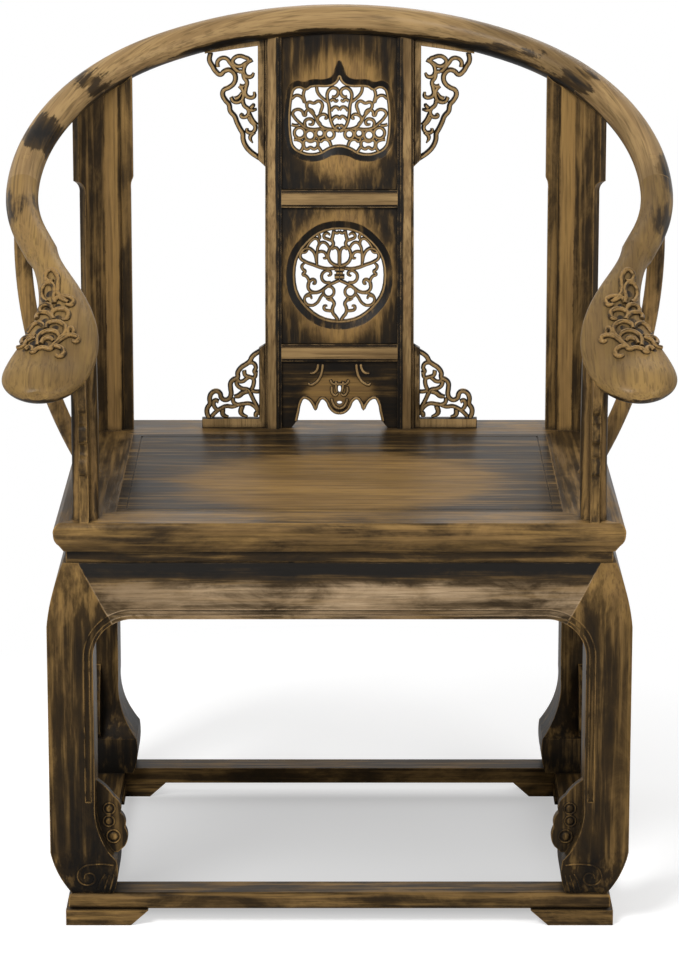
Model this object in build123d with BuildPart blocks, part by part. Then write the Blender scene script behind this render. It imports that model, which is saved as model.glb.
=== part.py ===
from build123d import *
import math
import os

# Horseshoe back armchair. Millimetres, +Z up, front towards -Y.
# The origin is on the floor, below the middle of the seat.

os.makedirs("parts", exist_ok=True)

# Seat frame
seat_width = 640.0
seat_depth = 500.0
seat_height = 482.0
seat_thickness = 34.0
seat_bulge = 3.0
seat_underside_inset = 8.0
mitre_spare = 1.1
front_rail_width = 52.0
side_rail_width = 65.0
back_rail_width = 78.0
panel_thickness = 14.0
panel_tongue_thickness = 6.0
panel_tongue_length = 7.0
panel_border = 10.5
panel_line_width = 1.8
panel_line_depth = 1.0
batten_width = 30.0
batten_height = 24.0
batten_spacing = 190.0
batten_dovetail = 3.5
batten_tenon = 8.0

# Waist, aprons and legs
waist_height = 14.0
waist_inset = 10.0
waist_thickness = 18.0
shoulder_inset = 6.5
body_overhang = 11.5
shoulder_height = 70.0
apron_height = 61.0
apron_thickness = 36.5
apron_corner_radius = 45.0
apron_mitre_angle = 60.0
apron_tongue_thickness = 8.0
apron_tongue_height = 30.0
apron_tongue_length = 12.0
leg_face_width = 52.0
leg_side_width = 60.0
leg_tenon = 16.0
leg_tenon_depth = 12.0
hoof_height = 118.0
hoof_tip_height = 46.5
hoof_reach = 23.5
hoof_heel_reach = 18.5
hoof_outer_height = 57.5
hoof_outer_inset = 11.0
spur_thickness = 10.0
spur_set_back = 20.0
lip_width = 4.5
lip_groove_width = 6.0
lip_groove_depth = 1.8

# Floor frame and feet
foot_height = 18.0
foot_length = 95.0
foot_slope = 20.0
foot_width = 44.0
foot_overhang = 3.0
foot_dowel = 8.0
foot_dowel_height = 6.0
base_height = 19.5
base_rail_width = 40.0
base_inset_x = 7.0
base_inset_y = 8.0
base_round = 6.0
base_tenon = 14.0
base_tenon_depth = 10.0

# Horseshoe rail
rail_diameter = 38.0
rail_overhang = 52.0
rail_side_overhang = 53.0
rail_side_y = 12.0
rail_side_rise = 332.4
rail_back_rise = 500.5
rail_shoulder_radius = 300.0
rail_arm_radius = 195.0
rail_arm_turn = 24.0
rail_arm_straight = 30.0
lap_back_start = 41.0
lap_back_size = 12.0
lap_arm_start = 14.0
lap_arm_size = 12.0
wedge_size = 8.0

# Posts and braces
back_post_inset_x = 40.0
back_post_inset_y = 47.0
back_post_width = 24.0
back_post_depth = 26.0
back_post_round = 6.0
outer_spandrel_width = 22.0
inner_spandrel_width = 12.0
outer_spandrel_head = 29.0
inner_spandrel_head = 15.0
outer_spandrel_turn = 38.0
spandrel_head_drop = 130.0
spandrel_shoulder = 16.0
long_spandrel_thickness = 12.0
front_post_inset_x = 32.0
front_post_inset_y = 28.0
front_post_width = 30.0
front_post_depth = 26.0
front_post_bow = 13.0
front_post_round = 8.0
front_post_rise = 186.0
front_spandrel_rise = 168.0
front_spandrel_thickness = 10.0
brace_diameter = 20.0
brace_y = -16.0
brace_foot_inset = 26.0
brace_foot_lead = 7.0
brace_lower_bow = 31.0
brace_middle_reach = 63.0
brace_middle_rise = 153.0
post_tenon = 14.0
post_tenon_depth = 20.0
post_tenon_rise = 6.0
brace_tenon = 10.0

# Splat and corner spandrels
splat_width = 184.0
stile_width = 20.0
stile_thickness = 18.0
stile_foot_tenon = 10.0
stile_tenon_width = 10.0
stile_tenon_depth = 8.0
stile_tenon_rise = 26.0
bead_width = 13.0
bead_height = 3.0
splat_panel_thickness = 9.0
splat_tongue = 4.0
splat_foot_inset = 41.0
splat_mid_rise = 258.0
splat_mid_lean = 15.2
splat_top_lean = 1.8
upper_cross_rise = 272.5
lower_cross_rise = 85.0
cross_rail_height = 21.0
medallion_rise = 189.5
medallion_rim_radius = 66.0
cartouche_rise = 384.0
cartouche_rim = 5.0
rim_width = 5.0
rim_depth = 2.0
corner_spandrel_thickness = 10.0
upper_corner_turn = 16.0
coped_end = 4.0

# Fit between joined pieces, on each side, and under the coped heads of posts
fit = 0.15
cope_gap = 0.05

# Levels and half sizes that follow from the sizes above
half_width = seat_width / 2
half_depth = seat_depth / 2
seat_underside = seat_height - seat_thickness
apron_top = seat_underside - waist_height
apron_bottom = apron_top - apron_height
base_top = foot_height + base_height
opening_x = half_width - side_rail_width
opening_front = -half_depth + front_rail_width
opening_back = half_depth - back_rail_width
mitre_side = side_rail_width + seat_bulge
mitre_front = front_rail_width + seat_bulge
mitre_back = back_rail_width + seat_bulge
panel_middle = (opening_front + opening_back) / 2
panel_depth = opening_back - opening_front
panel_underside = seat_height - panel_thickness
stile_x = splat_width / 2 - stile_width / 2
splat_inner = splat_width / 2 - stile_width
rail_half_width = half_width + rail_side_overhang
rail_side_height = seat_height + rail_side_rise
rail_back_height = seat_height + rail_back_rise
back_post_x = half_width - back_post_inset_x
back_post_y = half_depth - back_post_inset_y
front_post_x = half_width - front_post_inset_x
front_post_y = half_depth - front_post_inset_y
front_post_top = seat_height + front_post_rise
brace_foot_x = half_width - brace_foot_inset
splat_foot_y = half_depth - splat_foot_inset
splat_mid_height = seat_height + splat_mid_rise
upper_cross_height = seat_height + upper_cross_rise
lower_cross_height = seat_height + lower_cross_rise
medallion_height = seat_height + medallion_rise
cartouche_height = seat_height + cartouche_rise
lean_mid = math.radians(splat_mid_lean)
lean_top = math.radians(splat_top_lean)
lean_lower_radius = (splat_mid_height - seat_height) / math.sin(lean_mid)
lean_upper_radius = (rail_back_height - splat_mid_height) / (math.sin(lean_mid) - math.sin(lean_top))
stile_head_y = (
    splat_foot_y
    + lean_lower_radius * (1 - math.cos(lean_mid))
    + lean_upper_radius * (math.cos(lean_top) - math.cos(lean_mid))
)


def edge_form(half, profile, plane, reach):
    """Fill the space between a moulded edge and its mirror image."""
    with BuildSketch(plane) as outline:
        with BuildLine():
            edge = profile(half)
            Line(edge[0], (0, edge[0].Y))
            Line((0, edge[0].Y), (0, edge[1].Y))
            Line((0, edge[1].Y), edge[1])
        make_face()
        mirror(about=Plane.YZ)
    extrude(outline.sketch, amount=reach, both=True)


def seat_edge(half, stretch=1.0):
    """Draw the seat's moulded edge from its top down, and return its ends."""
    reach = half + seat_bulge
    top = Vector(reach - 2 * stretch * seat_bulge, seat_height)
    widest = Vector(reach, seat_height - seat_thickness * 0.36)
    lower = Vector(reach - 2 * stretch * seat_bulge, seat_underside + seat_thickness * 0.22)
    bottom = Vector(reach - stretch * (seat_bulge + seat_underside_inset), seat_underside)
    ThreePointArc(top, (reach - 0.5 * stretch * seat_bulge, seat_height - seat_thickness * 0.12), widest)
    ThreePointArc(widest, (reach - 0.4 * stretch * seat_bulge, (widest.Y + lower.Y) / 2), lower)
    Line(lower, bottom)
    return top, bottom


def front_seat_edge(half):
    """Draw the front edge, whose moulding meets the side edge on the mitre."""
    return seat_edge(half, mitre_front / mitre_side)


def back_seat_edge(half):
    """Draw the back edge, whose moulding meets the side edge on the mitre."""
    return seat_edge(half, mitre_back / mitre_side)


def body_edge(half):
    """Draw the outer line of aprons, legs and hoofs from the top down."""
    top = Vector(half - shoulder_inset, apron_top)
    shoulder = Vector(half + body_overhang, apron_top - shoulder_height)
    ankle = Vector(half + body_overhang, base_top + hoof_outer_height)
    bottom = Vector(half - hoof_outer_inset, base_top)
    ThreePointArc(top, (half + body_overhang * 0.37, apron_top - shoulder_height * 0.43), shoulder)
    Line(shoulder, ankle)
    ThreePointArc(ankle, (half + body_overhang * 0.48, base_top + hoof_outer_height * 0.6), bottom)
    return top, bottom


def upright(x, y, bottom, height, width, depth, gap=0.0, mode=Mode.ADD):
    """Add a square tenon, or cut its mortise with a gap all round."""
    with BuildSketch(Plane((x, y, bottom - gap))) as section:
        Rectangle(width + 2 * gap, depth + 2 * gap)
    extrude(section.sketch, amount=height + 2 * gap, mode=mode)


def round_upright(x, y, bottom, height, diameter, gap=0.0, mode=Mode.ADD):
    """Add a round tenon, or cut its mortise with a gap all round."""
    with BuildSketch(Plane((x, y, bottom - gap))) as section:
        Circle(diameter / 2 + gap)
    extrude(section.sketch, amount=height + 2 * gap, mode=mode)


def mitred_rail(half_x, half_y, width_x, width_y, level, height):
    """Extrude the front rail of a rectangular frame, mitred at both ends."""
    with BuildSketch(Plane.XY.offset(level)) as plan:
        Polygon(
            (-half_x, -half_y),
            (half_x, -half_y),
            (half_x - width_x, width_y - half_y),
            (width_x - half_x, width_y - half_y),
            align=None,
        )
    extrude(plan.sketch, amount=height)


def mitred_stile(half_x, half_y, width_x, front_width, back_width, level, height):
    """Extrude the left rail of a rectangular frame, mitred at both ends."""
    with BuildSketch(Plane.XY.offset(level)) as plan:
        Polygon(
            (-half_x, -half_y),
            (width_x - half_x, front_width - half_y),
            (width_x - half_x, half_y - back_width),
            (-half_x, half_y),
            align=None,
        )
    extrude(plan.sketch, amount=height)


# Solid forms that the moulded pieces are cut from

with BuildPart() as seat_front_form:
    edge_form(half_depth, front_seat_edge, Plane.YZ, seat_width)

with BuildPart() as seat_back_form:
    edge_form(half_depth, back_seat_edge, Plane.YZ, seat_width)

with BuildPart() as seat_side_form:
    edge_form(half_width, seat_edge, Plane.XZ, seat_depth)

with BuildPart() as body_depth_form:
    edge_form(half_depth, body_edge, Plane.YZ, seat_width)

with BuildPart() as body_form:
    edge_form(half_width, body_edge, Plane.XZ, seat_depth)
    add(body_depth_form.part, mode=Mode.INTERSECT)

# Floor frame: four mitred rails with rounded edges, on four feet

base_half_x = half_width - base_inset_x
base_half_y = half_depth - base_inset_y
base_post_x = base_half_x - base_rail_width / 2 - 3.0
base_post_y = base_half_y - base_rail_width / 2 - 1.0
foot_half_x = base_half_x + foot_overhang
foot_half_y = base_half_y + foot_overhang
dowel_x = foot_half_x - foot_length * 0.68
dowel_y = foot_half_y - foot_length * 0.68
dowel_line_x = base_half_x - base_rail_width / 2
dowel_line_y = base_half_y - base_rail_width / 2
corners = [(-1, -1), (1, -1), (-1, 1), (1, 1)]

with BuildPart() as base_form:
    with BuildSketch(Plane.XY.offset(foot_height)):
        Rectangle(2 * base_half_x, 2 * base_half_y)
    extrude(amount=base_height)
    fillet(base_form.edges().filter_by(Axis.Z, reverse=True), base_round)


def cut_base_mortises():
    """Cut the leg mortises and dowel holes that all floor rails share."""
    for side, end in corners:
        upright(
            side * base_post_x,
            end * base_post_y,
            base_top - base_tenon_depth,
            base_height,
            base_tenon,
            base_tenon,
            fit,
            Mode.SUBTRACT,
        )
        for x, y in [(dowel_x, dowel_line_y), (dowel_line_x, dowel_y)]:
            round_upright(side * x, end * y, 0, foot_height + foot_dowel_height, foot_dowel, fit, Mode.SUBTRACT)


with BuildPart() as base_front_rail:
    mitred_rail(base_half_x, base_half_y, base_rail_width, base_rail_width, foot_height, base_height)
    add(base_form.part, mode=Mode.INTERSECT)
    cut_base_mortises()

with BuildPart() as base_back_rail:
    mirror(base_front_rail.part, about=Plane.XZ)

with BuildPart() as base_left_rail:
    mitred_stile(
        base_half_x,
        base_half_y,
        base_rail_width,
        base_rail_width,
        base_rail_width,
        foot_height,
        base_height,
    )
    add(base_form.part, mode=Mode.INTERSECT)
    cut_base_mortises()

with BuildPart() as base_right_rail:
    mirror(base_left_rail.part, about=Plane.YZ)

with BuildPart() as foot_front_right:
    with BuildSketch(Plane.XZ.offset(foot_half_y)) as long_arm:
        Polygon(
            (foot_half_x, 0),
            (foot_half_x, foot_height),
            (foot_half_x - foot_length, foot_height),
            (foot_half_x - foot_length + foot_slope, 0),
            align=None,
        )
    extrude(amount=-foot_width)
    with BuildSketch(Plane.YZ.offset(foot_half_x)) as side_arm:
        Polygon(
            (-foot_half_y, 0),
            (-foot_half_y, foot_height),
            (foot_length - foot_half_y, foot_height),
            (foot_length - foot_slope - foot_half_y, 0),
            align=None,
        )
    extrude(amount=-foot_width)
    round_upright(dowel_x, -dowel_line_y, foot_height / 2, foot_height / 2 + foot_dowel_height, foot_dowel)
    round_upright(dowel_line_x, -dowel_y, foot_height / 2, foot_height / 2 + foot_dowel_height, foot_dowel)

with BuildPart() as foot_front_left:
    mirror(foot_front_right.part, about=Plane.YZ)

with BuildPart() as foot_back_right:
    mirror(foot_front_right.part, about=Plane.XZ)

with BuildPart() as foot_back_left:
    mirror(foot_front_left.part, about=Plane.XZ)

# Legs: square section, mitred into the aprons, ending in an inward hoof. A groove behind a narrow lip
# follows the opening, down the legs and along the aprons

body_x = half_width + body_overhang
body_y = half_depth + body_overhang
leg_inner_x = body_x - leg_face_width
leg_inner_y = body_y - leg_side_width
leg_post_x = body_x - apron_thickness - leg_tenon / 2 - 3.5
leg_post_y = body_y - apron_thickness - leg_tenon / 2 - 3.5
leg_post_top = seat_underside + leg_tenon_depth
leg_post_bottom = apron_bottom + 15.0


def mitre_ends(inner):
    """Return the lower and upper end of the mitre beside a leg's inner edge."""
    bend = math.radians(apron_mitre_angle)
    foot_x = inner - apron_corner_radius + apron_corner_radius * math.cos(bend)
    foot_z = apron_bottom - apron_corner_radius + apron_corner_radius * math.sin(bend)
    head_x = foot_x + (apron_top - foot_z) / math.tan(bend)
    return Vector(foot_x, foot_z), Vector(head_x, apron_top)


def leg_face(plane, half, inner):
    """Draw one face of a leg with its mitred shoulder and its hoof, and extrude it."""
    mitre_foot, mitre_head = mitre_ends(inner)
    knee = Vector(inner, base_top + hoof_height)
    toe = Vector(inner - hoof_reach, base_top + hoof_tip_height)
    heel = Vector(inner - hoof_heel_reach, base_top)
    with BuildSketch(plane) as face:
        with BuildLine():
            top, bottom = body_edge(half)
            Line(top, mitre_head)
            Line(mitre_head, mitre_foot)
            Line((inner, apron_bottom - apron_corner_radius), knee)
            ThreePointArc(
                mitre_foot,
                (
                    inner - apron_corner_radius * (1 - math.cos(math.radians(apron_mitre_angle / 2))),
                    apron_bottom
                    - apron_corner_radius * (1 - math.sin(math.radians(apron_mitre_angle / 2))),
                ),
                (inner, apron_bottom - apron_corner_radius),
            )
            ThreePointArc(knee, (inner - hoof_reach * 0.25, base_top + hoof_height * 0.64), toe)
            ThreePointArc(toe, (toe.X - 1.0, base_top + hoof_tip_height * 0.55), heel)
            Line(heel, bottom)
        make_face()
    return face.sketch


tongue_x = body_x - apron_thickness + apron_tongue_thickness / 2 + 6.0
tongue_y = body_y - apron_thickness + apron_tongue_thickness / 2 + 6.0
tongue_level = apron_top - apron_height * 0.8
tongue_length_x = 2 * (mitre_ends(leg_inner_x)[0].X + 3 * apron_tongue_length)
tongue_length_y = 2 * (mitre_ends(leg_inner_y)[0].X + 3 * apron_tongue_length)


def long_tongue(gap, mode):
    """Add the tongue bar of the back apron, or cut its mortises."""
    upright(
        0, tongue_y, tongue_level, apron_tongue_height, tongue_length_x, apron_tongue_thickness, gap, mode
    )


def side_tongue(gap, mode):
    """Add the tongue bar of the right apron, or cut its mortises."""
    upright(
        tongue_x, 0, tongue_level, apron_tongue_height, apron_tongue_thickness, tongue_length_y, gap, mode
    )


def lip_band(plane, inner):
    """Draw the band that the groove behind the lip takes on one side of the chair."""
    hub = Vector(inner - apron_corner_radius, apron_bottom - apron_corner_radius)
    near = apron_corner_radius + lip_width
    far = near + lip_groove_width
    diagonal = math.sqrt(0.5)
    with BuildSketch(plane) as band:
        with BuildLine():
            Line((hub.X + near, base_top + hoof_height), (hub.X + near, hub.Y))
            ThreePointArc(
                (hub.X + near, hub.Y),
                (hub.X + near * diagonal, hub.Y + near * diagonal),
                (hub.X, hub.Y + near),
            )
            Line((hub.X, hub.Y + near), (0, hub.Y + near))
            Line((0, hub.Y + near), (0, hub.Y + far))
            Line((0, hub.Y + far), (hub.X, hub.Y + far))
            ThreePointArc(
                (hub.X, hub.Y + far),
                (hub.X + far * diagonal, hub.Y + far * diagonal),
                (hub.X + far, hub.Y),
            )
            Line((hub.X + far, hub.Y), (hub.X + far, base_top + hoof_height))
            Line((hub.X + far, base_top + hoof_height), (hub.X + near, base_top + hoof_height))
        make_face()
        mirror(about=Plane.YZ)
    return band.sketch


def sunk_body_edge(half):
    """Draw the body's outer line at the bottom of the groove."""
    return body_edge(half - lip_groove_depth)


with BuildPart() as body_width_form:
    edge_form(half_width, body_edge, Plane.XZ, seat_depth)

with BuildPart() as sunk_width_form:
    edge_form(half_width, sunk_body_edge, Plane.XZ, seat_depth)

with BuildPart() as sunk_depth_form:
    edge_form(half_depth, sunk_body_edge, Plane.YZ, seat_width)

with BuildPart() as long_lip_groove:
    extrude(lip_band(Plane.XZ, leg_inner_x), amount=seat_depth, both=True)
    add(sunk_depth_form.part, mode=Mode.SUBTRACT)

with BuildPart() as side_lip_groove:
    extrude(lip_band(Plane.YZ, leg_inner_y), amount=seat_width, both=True)
    add(sunk_width_form.part, mode=Mode.SUBTRACT)

with BuildPart() as back_right_leg:
    extrude(leg_face(Plane.XZ, half_width, leg_inner_x), amount=-seat_depth)
    extrude(leg_face(Plane.YZ, half_depth, leg_inner_y), amount=seat_width, mode=Mode.INTERSECT)
    upright(leg_post_x, leg_post_y, leg_post_bottom, leg_post_top - leg_post_bottom, leg_tenon, leg_tenon)
    upright(base_post_x, base_post_y, base_top - base_tenon_depth, 2 * base_tenon_depth, base_tenon, base_tenon)
    long_tongue(fit, Mode.SUBTRACT)
    side_tongue(fit, Mode.SUBTRACT)
    add(long_lip_groove.part, mode=Mode.SUBTRACT)
    add(side_lip_groove.part, mode=Mode.SUBTRACT)

with BuildPart() as back_left_leg:
    mirror(back_right_leg.part, about=Plane.YZ)

with BuildPart() as front_right_leg:
    mirror(back_right_leg.part, about=Plane.XZ)

with BuildPart() as front_left_leg:
    mirror(back_left_leg.part, about=Plane.XZ)

# Carved spurs on the inner edges of the legs


# Each lobe: how far its start, middle and end stand in from the leg, and how high above the floor frame
spur_lobes = [
    [(-8.0, 142.5), (8.0, 132.5), (20.0, 118.5)],
    [(20.0, 118.5), (27.0, 110.5), (28.0, 98.5)],
    [(28.0, 98.5), (33.0, 90.5), (33.0, 80.5)],
    [(33.0, 80.5), (36.0, 68.5), (32.0, 57.5)],
]
spur_foot_reach = 24.0
spur_foot_rise = 50.5
spur_root = 8.0


def spur(plane, inner, depth):
    """Add one thin lobed spur, standing against a leg's inner edge."""
    foot = base_top + spur_foot_rise
    with BuildSketch(plane) as outline:
        with BuildLine():
            for lobe in spur_lobes:
                ThreePointArc(*[(inner - reach, base_top + rise) for reach, rise in lobe])
            last_reach, last_rise = spur_lobes[-1][-1]
            Line((inner - last_reach, base_top + last_rise), (inner - spur_foot_reach, foot))
            Line((inner - spur_foot_reach, foot), (inner + spur_root, foot))
            Line((inner + spur_root, foot), (inner + spur_root, base_top + spur_lobes[0][0][1]))
        make_face()
    extrude(outline.sketch, amount=depth)


with BuildPart() as face_spur:
    spur(Plane.XZ.offset(body_y - spur_set_back), leg_inner_x, -spur_thickness)
    add(front_right_leg.part, mode=Mode.SUBTRACT)

with BuildPart() as flank_spur:
    spur(Plane.YZ.offset(body_x - spur_set_back), leg_inner_y, -spur_thickness)
    add(back_right_leg.part, mode=Mode.SUBTRACT)

with BuildPart() as leg_spurs:
    add(face_spur.part)
    add(flank_spur.part)
    mirror(flank_spur.part, about=Plane.XZ)
    mirror(about=Plane.YZ)

# Aprons and waist


def apron_face(plane, inner):
    """Draw the outline of an apron between the mitres of two legs."""
    mitre_foot, mitre_head = mitre_ends(inner)
    turn = math.radians((90 + apron_mitre_angle) / 2)
    hub_x = inner - apron_corner_radius
    hub_z = apron_bottom - apron_corner_radius
    with BuildSketch(plane) as face:
        with BuildLine():
            Line((0, apron_top), mitre_head)
            Line(mitre_head, mitre_foot)
            ThreePointArc(
                mitre_foot,
                (hub_x + apron_corner_radius * math.cos(turn), hub_z + apron_corner_radius * math.sin(turn)),
                (hub_x, apron_bottom),
            )
            Line((hub_x, apron_bottom), (0, apron_bottom))
            Line((0, apron_bottom), (0, apron_top))
        make_face()
        mirror(about=Plane.YZ)
    return face.sketch


with BuildPart() as back_apron:
    extrude(apron_face(Plane.XZ.offset(-body_y), leg_inner_x), amount=apron_thickness)
    add(body_depth_form.part, mode=Mode.INTERSECT)
    add(long_lip_groove.part, mode=Mode.SUBTRACT)
    long_tongue(0, Mode.ADD)

with BuildPart() as front_apron:
    mirror(back_apron.part, about=Plane.XZ)

with BuildPart() as right_apron:
    extrude(apron_face(Plane.YZ.offset(body_x), leg_inner_y), amount=-apron_thickness)
    add(body_width_form.part, mode=Mode.INTERSECT)
    add(side_lip_groove.part, mode=Mode.SUBTRACT)
    side_tongue(0, Mode.ADD)

with BuildPart() as left_apron:
    mirror(right_apron.part, about=Plane.YZ)

waist_x = half_width - waist_inset
waist_y = half_depth - waist_inset

with BuildPart() as front_waist:
    mitred_rail(waist_x, waist_y, waist_thickness, waist_thickness, apron_top, waist_height)

with BuildPart() as back_waist:
    mirror(front_waist.part, about=Plane.XZ)

with BuildPart() as left_waist:
    mitred_stile(
        waist_x, waist_y, waist_thickness, waist_thickness, waist_thickness, apron_top, waist_height
    )

with BuildPart() as right_waist:
    mirror(left_waist.part, about=Plane.YZ)

# Seat frame, floating panel and battens

batten_top = panel_underside + batten_dovetail
batten_length = panel_depth + 2 * batten_tenon
groove_level = panel_underside + 2.0


def cut_seat_joints():
    """Cut the groove for the panel and the mortises of all that stands on the seat."""
    with BuildSketch(Plane.XY.offset(groove_level - fit)) as groove:
        with Locations((0, panel_middle)):
            Rectangle(
                2 * (opening_x + panel_tongue_length + fit),
                panel_depth + 2 * (panel_tongue_length + fit),
            )
    extrude(groove.sketch, amount=panel_tongue_thickness + 2 * fit, mode=Mode.SUBTRACT)
    for x in (-batten_spacing / 2, batten_spacing / 2):
        upright(
            x,
            panel_middle,
            panel_underside - batten_height,
            batten_height - 6.0,
            batten_width,
            batten_length,
            fit,
            Mode.SUBTRACT,
        )
    for side in (-1, 1):
        for end in (-1, 1):
            upright(
                side * leg_post_x,
                end * leg_post_y,
                seat_underside,
                leg_tenon_depth,
                leg_tenon,
                leg_tenon,
                fit,
                Mode.SUBTRACT,
            )
        for x, y, diameter in (
            (back_post_x, back_post_y, post_tenon),
            (front_post_x, -front_post_y, post_tenon),
            (brace_foot_x, brace_y, post_tenon),
            (stile_x, splat_foot_y, stile_foot_tenon),
        ):
            round_upright(
                side * x,
                y,
                seat_height - post_tenon_depth,
                2 * post_tenon_depth,
                diameter,
                fit,
                Mode.SUBTRACT,
            )


with BuildPart() as seat_front_rail:
    mitred_rail(
        opening_x + mitre_spare * mitre_side,
        mitre_spare * mitre_front - opening_front,
        mitre_spare * mitre_side,
        mitre_spare * mitre_front,
        seat_underside,
        seat_thickness,
    )
    add(seat_front_form.part, mode=Mode.INTERSECT)
    cut_seat_joints()

with BuildPart() as seat_back_blank:
    mitred_rail(
        opening_x + mitre_spare * mitre_side,
        mitre_spare * mitre_back + opening_back,
        mitre_spare * mitre_side,
        mitre_spare * mitre_back,
        seat_underside,
        seat_thickness,
    )
    add(seat_back_form.part, mode=Mode.INTERSECT)

with BuildPart() as seat_back_rail:
    mirror(seat_back_blank.part, about=Plane.XZ)
    cut_seat_joints()

with BuildPart() as seat_left_rail:
    with BuildSketch(Plane.XY.offset(seat_underside)) as side_plan:
        Polygon(
            (-opening_x - mitre_spare * mitre_side, opening_front - mitre_spare * mitre_front),
            (-opening_x, opening_front),
            (-opening_x, opening_back),
            (-opening_x - mitre_spare * mitre_side, opening_back + mitre_spare * mitre_back),
            align=None,
        )
    extrude(side_plan.sketch, amount=seat_thickness)
    add(seat_side_form.part, mode=Mode.INTERSECT)
    cut_seat_joints()

with BuildPart() as seat_right_rail:
    mirror(seat_left_rail.part, about=Plane.YZ)

with BuildPart() as seat_panel:
    with BuildSketch(Plane.XY.offset(panel_underside)):
        with Locations((0, panel_middle)):
            Rectangle(2 * (opening_x - fit), panel_depth - 2 * fit)
    extrude(amount=panel_thickness)
    with BuildSketch(Plane.XY.offset(groove_level)):
        with Locations((0, panel_middle)):
            Rectangle(2 * (opening_x + panel_tongue_length), panel_depth + 2 * panel_tongue_length)
    extrude(amount=panel_tongue_thickness)
    with BuildSketch(Plane.XY.offset(seat_height)):
        with Locations((0, panel_middle)):
            Rectangle(2 * (opening_x - panel_border), panel_depth - 2 * panel_border)
            Rectangle(
                2 * (opening_x - panel_border - panel_line_width),
                panel_depth - 2 * (panel_border + panel_line_width),
                mode=Mode.SUBTRACT,
            )
    extrude(amount=-panel_line_depth, mode=Mode.SUBTRACT)
    for x in (-batten_spacing / 2, batten_spacing / 2):
        upright(
            x,
            panel_middle,
            panel_underside - panel_thickness,
            panel_thickness + batten_dovetail,
            batten_width,
            panel_depth - 4 * panel_border,
            fit,
            Mode.SUBTRACT,
        )

with BuildPart() as seat_right_batten:
    upright(
        batten_spacing / 2,
        panel_middle,
        panel_underside - batten_height,
        batten_height - 6.0,
        batten_width,
        batten_length,
    )
    upright(
        batten_spacing / 2,
        panel_middle,
        panel_underside - batten_height,
        batten_height,
        batten_width,
        panel_depth - 2 * fit,
    )
    upright(
        batten_spacing / 2,
        panel_middle,
        panel_underside - batten_height,
        batten_height + batten_dovetail,
        batten_width,
        panel_depth - 4 * panel_border,
    )

with BuildPart() as seat_left_batten:
    mirror(seat_right_batten.part, about=Plane.YZ)

# Horseshoe rail: arcs in one inclined plane, in five sections

rail_back_y = half_depth + rail_overhang - rail_diameter / 2
rail_slope = math.degrees(math.atan2(rail_back_height - rail_side_height, rail_back_y - rail_side_y))
rail_plane = Plane(
    origin=(0, rail_side_y, rail_side_height),
    x_dir=(1, 0, 0),
    z_dir=(0, -math.sin(math.radians(rail_slope)), math.cos(math.radians(rail_slope))),
)
rail_back_reach = (rail_back_y - rail_side_y) / math.cos(math.radians(rail_slope))
shoulder_hub = rail_half_width - rail_shoulder_radius
arm_hub = rail_half_width - rail_arm_radius
crest_radius = (shoulder_hub**2 + rail_back_reach**2 - rail_shoulder_radius**2) / (
    2 * (rail_back_reach - rail_shoulder_radius)
)
crest_hub = rail_back_reach - crest_radius
crest_turn = math.degrees(math.atan2(shoulder_hub, -crest_hub))


def rail_spot(hub, radius, angle):
    """Return the plane square to the rail at an angle of one of its right-hand arcs."""
    return Plane(rail_plane.location * Pos(*hub) * Rot(0, 0, angle) * Pos(radius, 0, 0) * Rot(90, 0, 0))


def bend(hub, radius, start, size, half=0, gap=0.0):
    """Add a stretch of the round rail, or only its upper or lower half."""
    with BuildSketch(rail_spot(hub, radius, start)) as section:
        Circle(rail_diameter / 2 + gap)
        if half:
            with Locations((0, half * rail_diameter / 2)):
                Rectangle(2 * rail_diameter, rail_diameter, mode=Mode.INTERSECT)
    axis_plane = Plane(rail_plane.location * Pos(*hub))
    revolve(section.sketch, axis=Axis(axis_plane.origin, axis_plane.z_dir), revolution_arc=size)


def wedge(hub, radius, angle, gap=0.0, mode=Mode.ADD):
    """Add the square wedge that locks a lap, or cut its hole."""
    with BuildSketch(Plane(rail_plane.location * Pos(*hub) * Rot(0, 0, angle) * Pos(radius, 0, 0))) as peg:
        Rectangle(wedge_size + 2 * gap, wedge_size + 2 * gap)
    extrude(peg.sketch, amount=rail_diameter, both=True, mode=mode)


crest_center = (0, crest_hub, 0)
shoulder_center = (shoulder_hub, 0, 0)
arm_center = (arm_hub, 0, 0)
lap_back_end = lap_back_start - lap_back_size
lap_arm_end = lap_arm_start - lap_arm_size
lap_back_middle = lap_back_start - lap_back_size / 2
lap_arm_middle = lap_arm_start - lap_arm_size / 2

def rail_point(x):
    """Return the point of the rail's centreline at a distance from the middle."""
    if x < crest_radius * math.sin(math.radians(crest_turn)):
        reach = crest_hub + math.sqrt(crest_radius**2 - x**2)
    else:
        reach = math.sqrt(rail_shoulder_radius**2 - (x - shoulder_hub) ** 2)
    return rail_plane.from_local_coords(Vector(x, reach, 0))


def arm_point(y):
    """Return the point of the right arm's centreline at a depth in front of the widest point."""
    reach = (y - rail_side_y) / math.cos(math.radians(rail_slope))
    across = arm_hub + math.sqrt(rail_arm_radius**2 - reach**2)
    return rail_plane.from_local_coords(Vector(across, reach, 0))


post_head = rail_point(back_post_x)
brace_head = arm_point(brace_y)

with BuildPart() as rail_right_form:
    bend(crest_center, crest_radius, 90 - crest_turn, crest_turn)
    bend(shoulder_center, rail_shoulder_radius, 0, 90 - crest_turn)
    bend(arm_center, rail_arm_radius, -rail_arm_turn, rail_arm_turn)

with BuildPart() as rail_form:
    add(rail_right_form.part)
    mirror(about=Plane.YZ)

with BuildPart() as right_cope:
    bend(crest_center, crest_radius, 90 - crest_turn, crest_turn, gap=cope_gap)
    bend(shoulder_center, rail_shoulder_radius, 0, 90 - crest_turn, gap=cope_gap)
    bend(arm_center, rail_arm_radius, -rail_arm_turn, rail_arm_turn, gap=cope_gap)

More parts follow.
